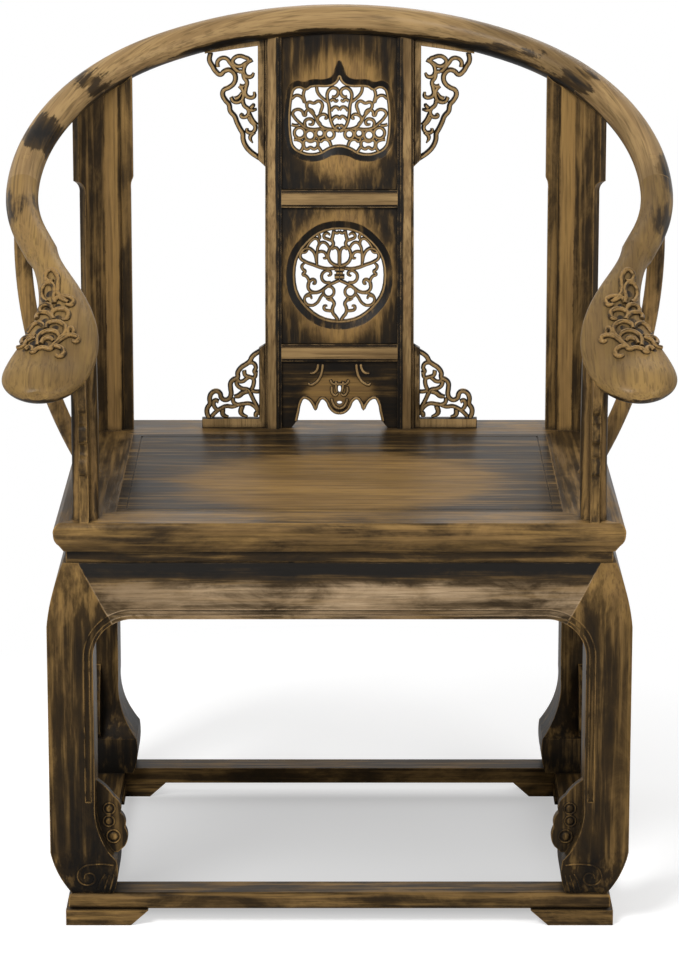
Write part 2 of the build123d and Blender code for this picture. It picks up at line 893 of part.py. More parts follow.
with BuildPart() as rail_cope:
    add(right_cope.part)
    mirror(about=Plane.YZ)

with BuildPart() as crest_right_half:
    bend(crest_center, crest_radius, 90 - crest_turn, crest_turn)
    bend(shoulder_center, rail_shoulder_radius, lap_back_start, 90 - crest_turn - lap_back_start)
    bend(shoulder_center, rail_shoulder_radius, lap_back_end, lap_back_size, 1)
    wedge(shoulder_center, rail_shoulder_radius, lap_back_middle, fit, Mode.SUBTRACT)
    round_upright(
        back_post_x,
        back_post_y,
        post_head.Z - 2 * post_tenon_depth,
        2 * post_tenon_depth + post_tenon_rise,
        post_tenon,
        fit,
        Mode.SUBTRACT,
    )
    upright(
        stile_x,
        stile_head_y,
        rail_back_height - 2 * stile_tenon_rise,
        2 * stile_tenon_rise,
        stile_tenon_width,
        stile_tenon_depth,
        fit,
        Mode.SUBTRACT,
    )

with BuildPart() as crest_rail_center:
    add(crest_right_half.part)
    mirror(about=Plane.YZ)

with BuildPart() as crest_right_shoulder:
    bend(shoulder_center, rail_shoulder_radius, lap_arm_start, lap_back_end - lap_arm_start)
    bend(shoulder_center, rail_shoulder_radius, lap_back_end, lap_back_size, -1)
    bend(shoulder_center, rail_shoulder_radius, lap_arm_end, lap_arm_size, 1)
    wedge(shoulder_center, rail_shoulder_radius, lap_back_middle, fit, Mode.SUBTRACT)
    wedge(shoulder_center, rail_shoulder_radius, lap_arm_middle, fit, Mode.SUBTRACT)

with BuildPart() as crest_left_shoulder:
    mirror(crest_right_shoulder.part, about=Plane.YZ)

with BuildPart() as scarf_wedges:
    wedge(shoulder_center, rail_shoulder_radius, lap_back_middle)
    wedge(shoulder_center, rail_shoulder_radius, lap_arm_middle)
    mirror(about=Plane.YZ)
    add(rail_form.part, mode=Mode.INTERSECT)

# Arms with their hand-rests. Each section: distance behind the tip, inner and outer edge outside the
# middle of the front post, level of its middle above the post's top, height and tilt

hand_rest_tip = half_depth + rail_overhang
hand_rest_sections = [
    (190.0, 20.5, 60.5, 69.5, 38.0, 31.0),
    (157.0, 0.5, 55.0, 49.0, 38.5, 31.0),
    (126.0, -12.0, 58.0, 29.5, 39.0, 30.0),
    (96.0, -16.5, 70.0, 11.5, 39.5, 27.0),
    (68.0, -13.5, 83.0, -4.5, 39.5, 20.0),
    (43.0, -6.0, 88.5, -15.5, 38.5, 10.0),
    (25.0, 3.5, 84.5, -21.0, 34.5, 4.0),
    (13.0, 14.5, 75.5, -24.0, 27.5, 0.0),
    (5.5, 25.0, 66.0, -25.5, 19.0, 0.0),
    (1.5, 34.0, 58.0, -26.0, 10.0, 0.0),
]

with BuildPart() as right_arm_form:
    bend(shoulder_center, rail_shoulder_radius, lap_arm_end, lap_arm_size, -1)
    bend(shoulder_center, rail_shoulder_radius, 0, lap_arm_end)
    bend(arm_center, rail_arm_radius, -rail_arm_turn, rail_arm_turn)
    arm_turned = rail_spot(arm_center, rail_arm_radius, -rail_arm_turn)
    with BuildSketch(arm_turned):
        Circle(rail_diameter / 2)
    extrude(amount=rail_arm_straight)
    with BuildSketch(arm_turned.offset(rail_arm_straight)):
        Circle(rail_diameter / 2)
    for behind, inner, outer, level, height, tilt in hand_rest_sections:
        middle = (front_post_x + (inner + outer) / 2, behind - hand_rest_tip, front_post_top + level)
        lean = math.radians(tilt)
        with BuildSketch(Plane(middle, x_dir=(1, 0, 0), z_dir=(0, -math.cos(lean), -math.sin(lean)))):
            Ellipse((outer - inner) / 2, height / 2)
    loft()

with BuildPart() as right_arm:
    add(right_arm_form.part)
    wedge(shoulder_center, rail_shoulder_radius, lap_arm_middle, fit, Mode.SUBTRACT)
    round_upright(
        brace_head.X,
        brace_y,
        brace_head.Z - 2 * post_tenon_depth,
        2 * post_tenon_depth,
        brace_tenon,
        fit,
        Mode.SUBTRACT,
    )
    round_upright(
        front_post_x,
        -front_post_y,
        front_post_top - 2 * post_tenon_depth,
        2 * post_tenon_depth,
        post_tenon,
        fit,
        Mode.SUBTRACT,
    )

with BuildPart() as left_arm:
    mirror(right_arm.part, about=Plane.YZ)

# Posts and side braces

with BuildPart() as back_right_post:
    with BuildSketch(Plane.XY.offset(seat_height)):
        with Locations((back_post_x, back_post_y)):
            RectangleRounded(back_post_width, back_post_depth, back_post_round)
    extrude(amount=post_head.Z - seat_height)
    add(rail_cope.part, mode=Mode.SUBTRACT)
    round_upright(
        back_post_x,
        back_post_y,
        seat_height - post_tenon_depth,
        2 * post_tenon_depth,
        post_tenon,
    )
    round_upright(
        back_post_x,
        back_post_y,
        post_head.Z - 2 * post_tenon_depth,
        2 * post_tenon_depth + post_tenon_rise,
        post_tenon,
    )

with BuildPart() as back_left_post:
    mirror(back_right_post.part, about=Plane.YZ)


def long_spandrel(turn, foot_width, head_width):
    """Add a tall thin board that stands beside the back post and widens under the rail."""
    cosine = math.cos(math.radians(turn))
    side = math.copysign(1, foot_width)
    board = Plane(
        (back_post_x, back_post_y, 0),
        x_dir=(side * cosine, -math.sin(math.radians(turn)), 0),
        z_dir=(-math.sin(math.radians(turn)), -side * cosine, 0),
    )
    foot = (back_post_width / 2 + abs(foot_width)) / cosine
    head = (back_post_width / 2 + head_width) / cosine
    head_point = rail_point(back_post_x + side * head * cosine)
    shoulder_level = post_head.Z - spandrel_head_drop
    with BuildSketch(board) as outline:
        with BuildLine():
            Polyline(
                (foot, shoulder_level - spandrel_shoulder),
                (foot, seat_height),
                (0, seat_height),
                (0, post_head.Z),
                (head, head_point.Z),
                (head, shoulder_level),
            )
            ThreePointArc(
                (head, shoulder_level),
                (foot + (head - foot) * 0.25, shoulder_level - spandrel_shoulder * 0.35),
                (foot, shoulder_level - spandrel_shoulder),
            )
        make_face()
    extrude(outline.sketch, amount=long_spandrel_thickness / 2, both=True)
    add(rail_cope.part, mode=Mode.SUBTRACT)
    add(back_right_post.part, mode=Mode.SUBTRACT)


with BuildPart() as outer_right_spandrel:
    long_spandrel(outer_spandrel_turn, outer_spandrel_width, outer_spandrel_head)

with BuildPart() as outer_left_spandrel:
    mirror(outer_right_spandrel.part, about=Plane.YZ)

with BuildPart() as inner_right_spandrel:
    long_spandrel(0, -inner_spandrel_width, inner_spandrel_head)

with BuildPart() as inner_left_spandrel:
    mirror(inner_right_spandrel.part, about=Plane.YZ)

with BuildPart() as front_right_post:
    with BuildSketch(Plane.YZ.offset(front_post_x)):
        with BuildLine():
            back_line = ThreePointArc(
                (front_post_depth / 2 - front_post_y, seat_height),
                (front_post_depth / 2 - front_post_y + front_post_bow, (seat_height + front_post_top) / 2),
                (front_post_depth / 2 - front_post_y, front_post_top),
            )
            front_line = ThreePointArc(
                (-front_post_depth / 2 - front_post_y, seat_height),
                (-front_post_depth / 2 - front_post_y + front_post_bow, (seat_height + front_post_top) / 2),
                (-front_post_depth / 2 - front_post_y, front_post_top),
            )
            Line(back_line @ 0, front_line @ 0)
            Line(back_line @ 1, front_line @ 1)
        make_face()
    extrude(amount=front_post_width / 2, both=True)
    fillet(front_right_post.edges().filter_by(GeomType.CIRCLE), front_post_round)
    add(right_arm_form.part, mode=Mode.SUBTRACT)
    round_upright(
        front_post_x, -front_post_y, seat_height - post_tenon_depth, 2 * post_tenon_depth, post_tenon
    )
    round_upright(
        front_post_x,
        -front_post_y,
        front_post_top - 2 * post_tenon_depth,
        2 * post_tenon_depth,
        post_tenon,
    )

with BuildPart() as front_left_post:
    mirror(front_right_post.part, about=Plane.YZ)

# Standing spandrel before the front post. Each arc: how far its start, middle and end stand before the
# middle of the post, and how high above the seat
front_spandrel_edge = [
    [(26.0, 0.0), (20.0, 28.0), (25.0, 54.0)],
    [(25.0, 54.0), (32.0, 66.0), (25.0, 78.0)],
    [(25.0, 78.0), (22.0, 85.0), (25.0, 92.0)],
    [(25.0, 92.0), (34.0, 104.0), (28.0, 116.0)],
    [(28.0, 116.0), (26.0, 122.0), (30.0, 128.0)],
    [(30.0, 128.0), (40.0, 140.0), (42.0, front_spandrel_rise)],
]

with BuildPart() as front_right_spandrel:
    with BuildSketch(Plane.YZ.offset(front_post_x)):
        with BuildLine():
            for lobe in front_spandrel_edge:
                ThreePointArc(*[(-front_post_y - reach, seat_height + rise) for reach, rise in lobe])
            Polyline(
                (-front_post_y - front_spandrel_edge[-1][-1][0], seat_height + front_spandrel_rise),
                (-front_post_y, seat_height + front_spandrel_rise),
                (-front_post_y, seat_height),
                (-front_post_y - front_spandrel_edge[0][0][0], seat_height),
            )
        make_face()
    extrude(amount=front_spandrel_thickness / 2, both=True)
    add(right_arm_form.part, mode=Mode.SUBTRACT)
    add(front_right_post.part, mode=Mode.SUBTRACT)

with BuildPart() as front_left_spandrel:
    mirror(front_right_spandrel.part, about=Plane.YZ)

with BuildPart() as right_side_brace:
    with BuildLine(Plane.XZ.offset(-brace_y)) as brace_path:
        lower_bow = ThreePointArc(
            (brace_foot_x - brace_foot_lead, seat_height - brace_foot_lead * 1.7),
            (brace_foot_x + brace_lower_bow, seat_height + brace_middle_rise * 0.38),
            (brace_foot_x + brace_middle_reach, seat_height + brace_middle_rise),
        )
        TangentArc(lower_bow @ 1, (brace_head.X, brace_head.Z), tangent=lower_bow % 1)
    with BuildSketch(Plane(brace_path.line @ 0, z_dir=brace_path.line % 0)):
        Circle(brace_diameter / 2)
    sweep(path=brace_path.line)
    split(bisect_by=Plane.XY.offset(seat_height), keep=Keep.TOP)
    add(rail_cope.part, mode=Mode.SUBTRACT)
    round_upright(brace_foot_x, brace_y, seat_height - post_tenon_depth, post_tenon_depth + 4, post_tenon)
    round_upright(brace_head.X, brace_y, brace_head.Z - 2 * post_tenon_depth, 2 * post_tenon_depth, brace_tenon)

with BuildPart() as left_side_brace:
    mirror(right_side_brace.part, about=Plane.YZ)

# Splat: every member is cut from boards that follow one S-curve


def lean_board(front, back, plane=Plane((0, splat_foot_y, 0), x_dir=(0, 1, 0), z_dir=(1, 0, 0))):
    """Add a wide board that follows the S-curve, between two offsets from its middle."""
    lower_turn = splat_mid_lean
    upper_turn = splat_mid_lean - splat_top_lean
    with BuildSketch(plane) as section:
        with BuildLine():
            front_lower = JernArc((-front, seat_height), (0, 1), lean_lower_radius + front, -lower_turn)
            front_upper = JernArc(front_lower @ 1, front_lower % 1, lean_upper_radius - front, upper_turn)
            back_lower = JernArc((back, seat_height), (0, 1), lean_lower_radius - back, -lower_turn)
            back_upper = JernArc(back_lower @ 1, back_lower % 1, lean_upper_radius + back, upper_turn)
            Line(front_lower @ 0, back_lower @ 0)
            Line(front_upper @ 1, back_upper @ 1)
        make_face()
    extrude(section.sketch, amount=seat_width, both=True)


def arc_chain(points, side=1):
    """Draw arcs through points, each arc taking a middle and an end point."""
    placed = [(side * x, z) for x, z in points]
    for start, middle, end in zip(placed[0:-2:2], placed[1:-1:2], placed[2::2]):
        ThreePointArc(start, middle, end)


with BuildPart() as stile_form:
    lean_board(stile_thickness / 2, stile_thickness / 2)

with BuildPart() as panel_form:
    lean_board(splat_panel_thickness / 2, splat_panel_thickness / 2)

with BuildPart() as panel_slot_form:
    lean_board(splat_panel_thickness / 2 + fit, splat_panel_thickness / 2 + fit)

with BuildPart() as bead_form:
    lean_board(stile_thickness / 2 + bead_height, 0)

with BuildPart() as panel_skin:
    lean_board(splat_panel_thickness, rim_depth - splat_panel_thickness / 2)

with BuildPart() as corner_form:
    lean_board(corner_spandrel_thickness / 2, corner_spandrel_thickness / 2)

upper_cross_top = upper_cross_height + cross_rail_height
lower_cross_top = lower_cross_height + cross_rail_height
panel_half = splat_inner + splat_tongue
slot_half = panel_half + fit

stile_top = rail_point(stile_x).Z

with BuildPart() as stile_blank:
    with BuildSketch(Plane.XZ):
        with Locations((stile_x, (seat_height + stile_top) / 2)):
            Rectangle(stile_width, stile_top - seat_height)
    extrude(amount=-seat_depth)
    add(stile_form.part, mode=Mode.INTERSECT)

with BuildPart() as stile_bead:
    with BuildSketch(Plane.XZ):
        with Locations((stile_x, (seat_height + stile_top) / 2)):
            Rectangle(bead_width, stile_top - seat_height)
    extrude(amount=-seat_depth)
    add(bead_form.part, mode=Mode.INTERSECT)

with BuildPart() as stile_slot:
    with BuildSketch(Plane.XZ):
        with Locations((0, (seat_height + rail_back_height) / 2)):
            Rectangle(2 * slot_half, rail_back_height - seat_height)
    extrude(amount=-seat_depth)
    add(panel_slot_form.part, mode=Mode.INTERSECT)

with BuildPart() as splat_right_stile:
    add(stile_blank.part)
    add(stile_bead.part)
    add(stile_slot.part, mode=Mode.SUBTRACT)
    add(rail_cope.part, mode=Mode.SUBTRACT)
    round_upright(
        stile_x,
        splat_foot_y,
        seat_height - post_tenon_depth,
        2 * post_tenon_depth,
        stile_foot_tenon,
    )
    upright(
        stile_x,
        stile_head_y,
        rail_back_height - 2 * stile_tenon_rise,
        2 * stile_tenon_rise,
        stile_tenon_width,
        stile_tenon_depth,
    )

with BuildPart() as splat_left_stile:
    mirror(splat_right_stile.part, about=Plane.YZ)


def cross_strip(level, half, height, form):
    """Cut a horizontal strip of the splat from one of the curved boards."""
    with BuildPart() as strip:
        with BuildSketch(Plane.XZ) as face:
            with Locations((0, level + cross_rail_height / 2)):
                Rectangle(2 * half, height)
        extrude(face.sketch, amount=-seat_depth)
        add(form.part, mode=Mode.INTERSECT)
    return strip.part


upper_bead = cross_strip(upper_cross_height, splat_inner, bead_width, bead_form)
upper_tongue = cross_strip(upper_cross_height, panel_half, cross_rail_height, panel_form)
lower_bead = cross_strip(lower_cross_height, splat_inner, bead_width, bead_form)
lower_tongue = cross_strip(lower_cross_height, panel_half, cross_rail_height, panel_form)

with BuildPart() as splat_upper_rail:
    add(cross_strip(upper_cross_height, splat_inner, cross_rail_height, stile_form))
    add(upper_bead)
    add(upper_tongue)

with BuildPart() as splat_lower_rail:
    add(cross_strip(lower_cross_height, splat_inner, cross_rail_height, stile_form))
    add(lower_bead)
    add(lower_tongue)


# Openwork. Each piercing: its place, half its length, half its width and its turn; it stands left and
# right unless it lies on the middle line

cartouche_line = [
    (0, 46),
    (9, 38),
    (22, 35.5),
    (49, 30),
    (59.5, 11),
    (61, -5),
    (59.5, -21),
    (52, -40),
    (33, -46.3),
    (15, -44.5),
    (0, -38),
]
cartouche_piercings = [
    (0, 39, 5.5, 3.6, 90),
    (0, 16.5, 7.5, 3.8, 0),
    (0, 4.5, 8.5, 3.4, 0),
    (0, -8.5, 8.5, 3.6, 0),
    (0, -28, 7.0, 5.8, 90),
    (7.6, 26.5, 4.0, 3.4, 90),
    (21.0, 27.5, 4.8, 3.8, 0),
    (34.5, 24.5, 5.6, 5.6, 90),
    (50.0, 22.5, 5.6, 3.4, 0),
    (51.0, 11.5, 5.6, 3.6, 0),
    (29.8, 9.0, 5.6, 4.8, 90),
    (18.0, 7.5, 6.5, 2.8, 95),
    (48.5, -2.0, 6.2, 3.0, 50),
    (37.0, 0.0, 3.4, 2.8, 0),
    (33.2, -11.2, 6.4, 3.6, 20),
    (18.6, -7.5, 6.2, 4.2, 115),
    (48.6, -22.6, 4.4, 4.0, 0),
    (36.4, -26.0, 4.4, 3.6, 0),
    (23.4, -24.0, 4.4, 3.6, 0),
    (12.6, -24.0, 4.2, 2.8, 90),
    (35.5, -37.0, 6.6, 3.0, 0),
    (18.0, -36.0, 6.4, 3.0, 10),
    (49.5, -34.0, 3.8, 3.4, 0),
]
medallion_piercings = [
    (0, 42.0, 7.0, 4.8, 90),
    (0, -31.0, 11.0, 3.8, 90),
    (8.4, 22.5, 7.0, 3.4, 68),
    (18.7, 46.0, 5.6, 2.6, -22),
    (13.6, 37.0, 3.6, 2.6, 60),
    (32.3, 36.8, 6.0, 2.8, -42),
    (21.5, 30.5, 4.0, 3.4, 45),
    (37.0, 22.0, 6.0, 5.4, 0),
    (20.2, 16.0, 4.6, 4.2, 0),
    (47.5, 0.0, 10.0, 3.0, 90),
    (30.0, 3.5, 9.2, 5.6, 10),
    (10.8, 0.0, 6.0, 4.0, 90),
    (26.5, -11.0, 6.8, 3.2, 30),
    (13.6, -21.5, 5.2, 5.2, 0),
    (33.2, -27.0, 6.2, 3.4, 15),
    (44.6, -20.5, 5.6, 2.8, 70),
    (23.5, -41.5, 7.4, 3.8, 28),
]
apron_piercings = [(0, 50.5, 4.5, 2.2, 90), (0, 28.5, 3.0, 2.0, 0)]


# Corners of one eight-sided piercing, for half a length and half a width of one
piercing_corners = [
    (1, 0.38),
    (0.5, 1),
    (-0.5, 1),
    (-1, 0.38),
    (-1, -0.38),
    (-0.5, -1),
    (0.5, -1),
    (1, -0.38),
]


def piercing(x, z, length, width, turn):
    """Cut one eight-sided piercing into a board."""
    corners = [(length * along, width * across) for along, across in piercing_corners]
    with Locations((x, z)):
        Polygon(*corners, rotation=turn, align=None, mode=Mode.SUBTRACT)


def pierce(piercings, height):
    """Cut piercings into a board, left and right alike."""
    for x, z, length, width, turn in piercings:
        piercing(x, height + z, length, width, turn)
        if x:
            piercing(-x, height + z, length, width, -turn)


def cartouche_face(grow):
    """Draw the ogee outline round the upper openwork, enlarged about its middle."""
    with BuildSketch(Plane.XZ) as face:
        with BuildLine():
            arc_chain([(x * grow, cartouche_height + z * grow) for x, z in cartouche_line])
            Line((0, cartouche_height - 38 * grow), (0, cartouche_height + 46 * grow))
        make_face()
        mirror(about=Plane.YZ)
    return face.sketch


cartouche_grow = 1 + cartouche_rim / cartouche_line[4][0]

with BuildPart() as cartouche_rim_form:
    extrude(cartouche_face(cartouche_grow), amount=-seat_depth)
    extrude(cartouche_face(1), amount=-seat_depth, mode=Mode.SUBTRACT)
    add(panel_skin.part, mode=Mode.INTERSECT)

with BuildPart() as splat_upper_panel:
    with BuildSketch(Plane.XZ):
        with Locations((0, (upper_cross_top + rail_back_height) / 2)):
            Rectangle(2 * panel_half, rail_back_height - upper_cross_top)
        pierce(cartouche_piercings, cartouche_height)
    extrude(amount=-seat_depth)
    add(panel_form.part, mode=Mode.INTERSECT)
    add(cartouche_rim_form.part, mode=Mode.SUBTRACT)
    add(rail_cope.part, mode=Mode.SUBTRACT)

with BuildPart() as medallion_rim_form:
    with BuildSketch(Plane.XZ):
        with Locations((0, medallion_height)):
            Circle(medallion_rim_radius)
            Circle(medallion_rim_radius - rim_width, mode=Mode.SUBTRACT)
    extrude(amount=-seat_depth)
    add(panel_skin.part, mode=Mode.INTERSECT)

with BuildPart() as splat_middle_panel:
    with BuildSketch(Plane.XZ):
        with Locations((0, (lower_cross_top + upper_cross_height) / 2)):
            Rectangle(2 * panel_half, upper_cross_height - lower_cross_top)
        pierce(medallion_piercings, medallion_height)
    extrude(amount=-seat_depth)
    add(panel_form.part, mode=Mode.INTERSECT)
    add(medallion_rim_form.part, mode=Mode.SUBTRACT)

# Lower edge of the lower panel, from its foot to the middle, above the seat
apron_line = [
    (60, 0),
    (53, 12),
    (50.5, 26),
    (41, 39),
    (31.5, 27),
    (20, 41),
    (9, 29),
    (5, 21),
    (0, 18),
]

with BuildPart() as splat_lower_panel:
    with BuildSketch(Plane.XZ):
        with BuildLine():
            Polyline(
                (0, lower_cross_height),
                (panel_half, lower_cross_height),
                (panel_half, seat_height),
                (apron_line[0][0], seat_height),
            )
            arc_chain([(x, seat_height + z) for x, z in apron_line])
            Line((0, seat_height + apron_line[-1][1]), (0, lower_cross_height))
        make_face()
        mirror(about=Plane.YZ)
        pierce(apron_piercings, seat_height)
    extrude(amount=-seat_depth)
    add(panel_form.part, mode=Mode.INTERSECT)

# Openwork corner spandrels beside the splat. Their outlines and piercings are given as distances from
# the splat's edge and heights above the seat

upper_corner_line = [
    (73.6, 464),
    (70, 446),
    (60.4, 433.6),
    (52.6, 437.5),
    (44.7, 433.6),
    (42, 425.9),
    (44.7, 419.4),
    (57, 414),
    (53.7, 398.8),
    (46.5, 379),
    (33.9, 364.3),
    (32.5, 354.2),
    (28.6, 344),
    (20.7, 335.2),
    (12.9, 331.4),
    (6, 328),
    (0, 322),
]
upper_corner_piercings = [
    (66, 451.0, 3.6, 2.2, 60),
    (53.5, 445.0, 6.4, 3.4, 155),
    (36.5, 449.5, 5.4, 3.0, 0),
    (21.5, 440.0, 6.6, 4.4, 100),
    (34.6, 430.5, 5.8, 2.4, 90),
    (21.5, 421.0, 7.4, 3.8, 90),
    (44.5, 409.5, 7.0, 4.0, 10),
    (37.5, 393.5, 6.6, 4.0, 60),
    (21.5, 399.5, 6.4, 4.0, 80),
    (19.5, 381.5, 5.4, 3.2, 90),
    (29, 373.0, 6.6, 4.0, 55),
    (20.5, 353.0, 9.0, 3.4, 75),
]
lower_corner_line = [
    (0, 104),
    (11.4, 97.6),
    (21.6, 88.9),
    (26.7, 80.1),
    (35.7, 72.5),
    (39.5, 64.9),
    (45.9, 57.3),
    (47.4, 44.7),
    (55, 38.5),
    (61.3, 47),
    (70, 47),
    (77, 32),
    (79, 0),
]
lower_corner_piercings = [
    (13.8, 87.0, 4.0, 2.6, 45),
    (21.3, 74.5, 5.2, 3.8, 60),
    (11.5, 63.0, 7.5, 2.0, 90),
    (25.5, 57.0, 5.4, 4.0, 30),
    (37.5, 50.5, 6.2, 3.6, 75),
    (28.5, 37.5, 7.0, 4.0, 15),
    (12, 40.0, 7.6, 2.6, 80),
    (50.5, 30.5, 7.6, 3.0, -5),
    (65, 39.5, 4.2, 3.6, 60),
    (68, 23.5, 4.6, 3.8, 60),
    (45, 19.5, 8.4, 3.0, 0),
    (20, 20.5, 7.0, 4.2, 0),
]


corner_edge = splat_width / 2
upper_corner_tip = corner_edge + upper_corner_line[0][0]
corner_plane = Plane(
    (corner_edge, splat_foot_y, 0),
    x_dir=(math.sin(math.radians(upper_corner_turn)), math.cos(math.radians(upper_corner_turn)), 0),
    z_dir=(math.cos(math.radians(upper_corner_turn)), -math.sin(math.radians(upper_corner_turn)), 0),
)

with BuildPart() as upper_corner_form:
    lean_board(corner_spandrel_thickness / 2, corner_spandrel_thickness / 2, corner_plane)

with BuildPart() as upper_right_corner:
    with BuildSketch(Plane.XZ):
        with BuildLine():
            arc_chain([(corner_edge + x, seat_height + z) for x, z in upper_corner_line])
            Polyline(
                (corner_edge, seat_height + upper_corner_line[-1][1]),
                (corner_edge, rail_point(corner_edge).Z - coped_end),
                (upper_corner_tip, rail_point(upper_corner_tip).Z),
                (upper_corner_tip, seat_height + upper_corner_line[0][1]),
            )
        make_face()
        for x, z, length, width, turn in upper_corner_piercings:
            piercing(corner_edge + x, seat_height + z, length, width, turn)
    extrude(amount=-seat_depth)
    add(upper_corner_form.part, mode=Mode.INTERSECT)
    add(rail_cope.part, mode=Mode.SUBTRACT)
    add(splat_right_stile.part, mode=Mode.SUBTRACT)

with BuildPart() as upper_left_corner:
    mirror(upper_right_corner.part, about=Plane.YZ)

with BuildPart() as lower_right_corner:
    with BuildSketch(Plane.XZ):
        with BuildLine():
            arc_chain([(corner_edge + x, seat_height + z) for x, z in lower_corner_line])
            Polyline(
                (corner_edge + lower_corner_line[-1][0], seat_height),
                (corner_edge, seat_height),
                (corner_edge, seat_height + lower_corner_line[0][1]),
            )
        make_face()
        for x, z, length, width, turn in lower_corner_piercings:
            piercing(corner_edge + x, seat_height + z, length, width, turn)
    extrude(amount=-seat_depth)
    add(corner_form.part, mode=Mode.INTERSECT)

with BuildPart() as lower_left_corner:
    mirror(lower_right_corner.part, about=Plane.YZ)

pieces = {
    "base_front_rail": base_front_rail,
    "base_back_rail": base_back_rail,
    "base_left_rail": base_left_rail,
    "base_right_rail": base_right_rail,
    "foot_front_left": foot_front_left,
    "foot_front_right": foot_front_right,
    "foot_back_left": foot_back_left,
    "foot_back_right": foot_back_right,
    "front_left_leg": front_left_leg,
    "front_right_leg": front_right_leg,
    "back_left_leg": back_left_leg,
    "back_right_leg": back_right_leg,
    "leg_spurs": leg_spurs,
    "front_apron": front_apron,
    "back_apron": back_apron,
    "left_apron": left_apron,
    "right_apron": right_apron,
    "front_waist": front_waist,
    "back_waist": back_waist,
    "left_waist": left_waist,
    "right_waist": right_waist,
    "seat_front_rail": seat_front_rail,
    "seat_back_rail": seat_back_rail,
    "seat_left_rail": seat_left_rail,
    "seat_right_rail": seat_right_rail,
    "seat_panel": seat_panel,
    "seat_left_batten": seat_left_batten,
    "seat_right_batten": seat_right_batten,
    "crest_rail_center": crest_rail_center,
    "crest_left_shoulder": crest_left_shoulder,
    "crest_right_shoulder": crest_right_shoulder,
    "left_arm": left_arm,
    "right_arm": right_arm,
    "scarf_wedges": scarf_wedges,
    "back_left_post": back_left_post,
    "back_right_post": back_right_post,
    "outer_left_spandrel": outer_left_spandrel,
    "outer_right_spandrel": outer_right_spandrel,
    "inner_left_spandrel": inner_left_spandrel,
    "inner_right_spandrel": inner_right_spandrel,
    "front_left_post": front_left_post,
    "front_right_post": front_right_post,
    "front_left_spandrel": front_left_spandrel,
    "front_right_spandrel": front_right_spandrel,
    "left_side_brace": left_side_brace,
    "right_side_brace": right_side_brace,
    "splat_left_stile": splat_left_stile,
    "splat_right_stile": splat_right_stile,
    "splat_upper_rail": splat_upper_rail,
    "splat_lower_rail": splat_lower_rail,
    "splat_upper_panel": splat_upper_panel,
    "splat_middle_panel": splat_middle_panel,
    "splat_lower_panel": splat_lower_panel,
    "upper_left_corner": upper_left_corner,
    "upper_right_corner": upper_right_corner,
    "lower_left_corner": lower_left_corner,
    "lower_right_corner": lower_right_corner,
}

for label, piece in pieces.items():
    piece.part.label = label
    export_step(piece.part, f"parts/{label}.step")
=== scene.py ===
"""Horseshoe back armchair: finishes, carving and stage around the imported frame.

The file is laid out as an add-on: property groups hold the sizes and colours, one operator makes each
group of pieces, and a panel in the sidebar lists the operators. Lengths are in metres.
"""

import math
import bmesh
import bpy
from mathutils import Matrix, Vector
from mathutils.bvhtree import BVHTree


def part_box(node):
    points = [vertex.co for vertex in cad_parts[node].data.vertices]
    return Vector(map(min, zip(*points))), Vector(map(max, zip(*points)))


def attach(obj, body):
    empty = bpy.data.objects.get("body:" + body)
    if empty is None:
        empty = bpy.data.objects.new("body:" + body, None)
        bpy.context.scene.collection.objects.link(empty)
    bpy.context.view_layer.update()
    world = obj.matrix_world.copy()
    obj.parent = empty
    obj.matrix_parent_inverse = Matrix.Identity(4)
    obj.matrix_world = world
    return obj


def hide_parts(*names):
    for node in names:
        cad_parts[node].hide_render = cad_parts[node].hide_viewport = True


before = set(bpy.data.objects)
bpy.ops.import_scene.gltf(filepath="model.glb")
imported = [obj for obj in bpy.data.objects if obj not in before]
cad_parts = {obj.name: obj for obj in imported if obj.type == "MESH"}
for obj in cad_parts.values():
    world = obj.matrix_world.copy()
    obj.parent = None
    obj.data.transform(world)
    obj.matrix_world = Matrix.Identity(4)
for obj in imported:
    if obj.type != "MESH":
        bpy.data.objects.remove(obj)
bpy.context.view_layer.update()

bl_info = {
    "name": "Horseshoe Back Armchair",
    "version": (1, 0, 0),
    "blender": (4, 5, 0),
    "location": "View3D > Sidebar > Armchair",
    "description": "Finishes, carving and stage for a horseshoe back armchair",
    "category": "Object",
}

IMAGE_HEIGHT = 957
MM = 0.001


def low(node):
    """The lowest corner of a CAD node."""
    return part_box(node)[0]


def high(node):
    """The highest corner of a CAD node."""
    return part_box(node)[1]


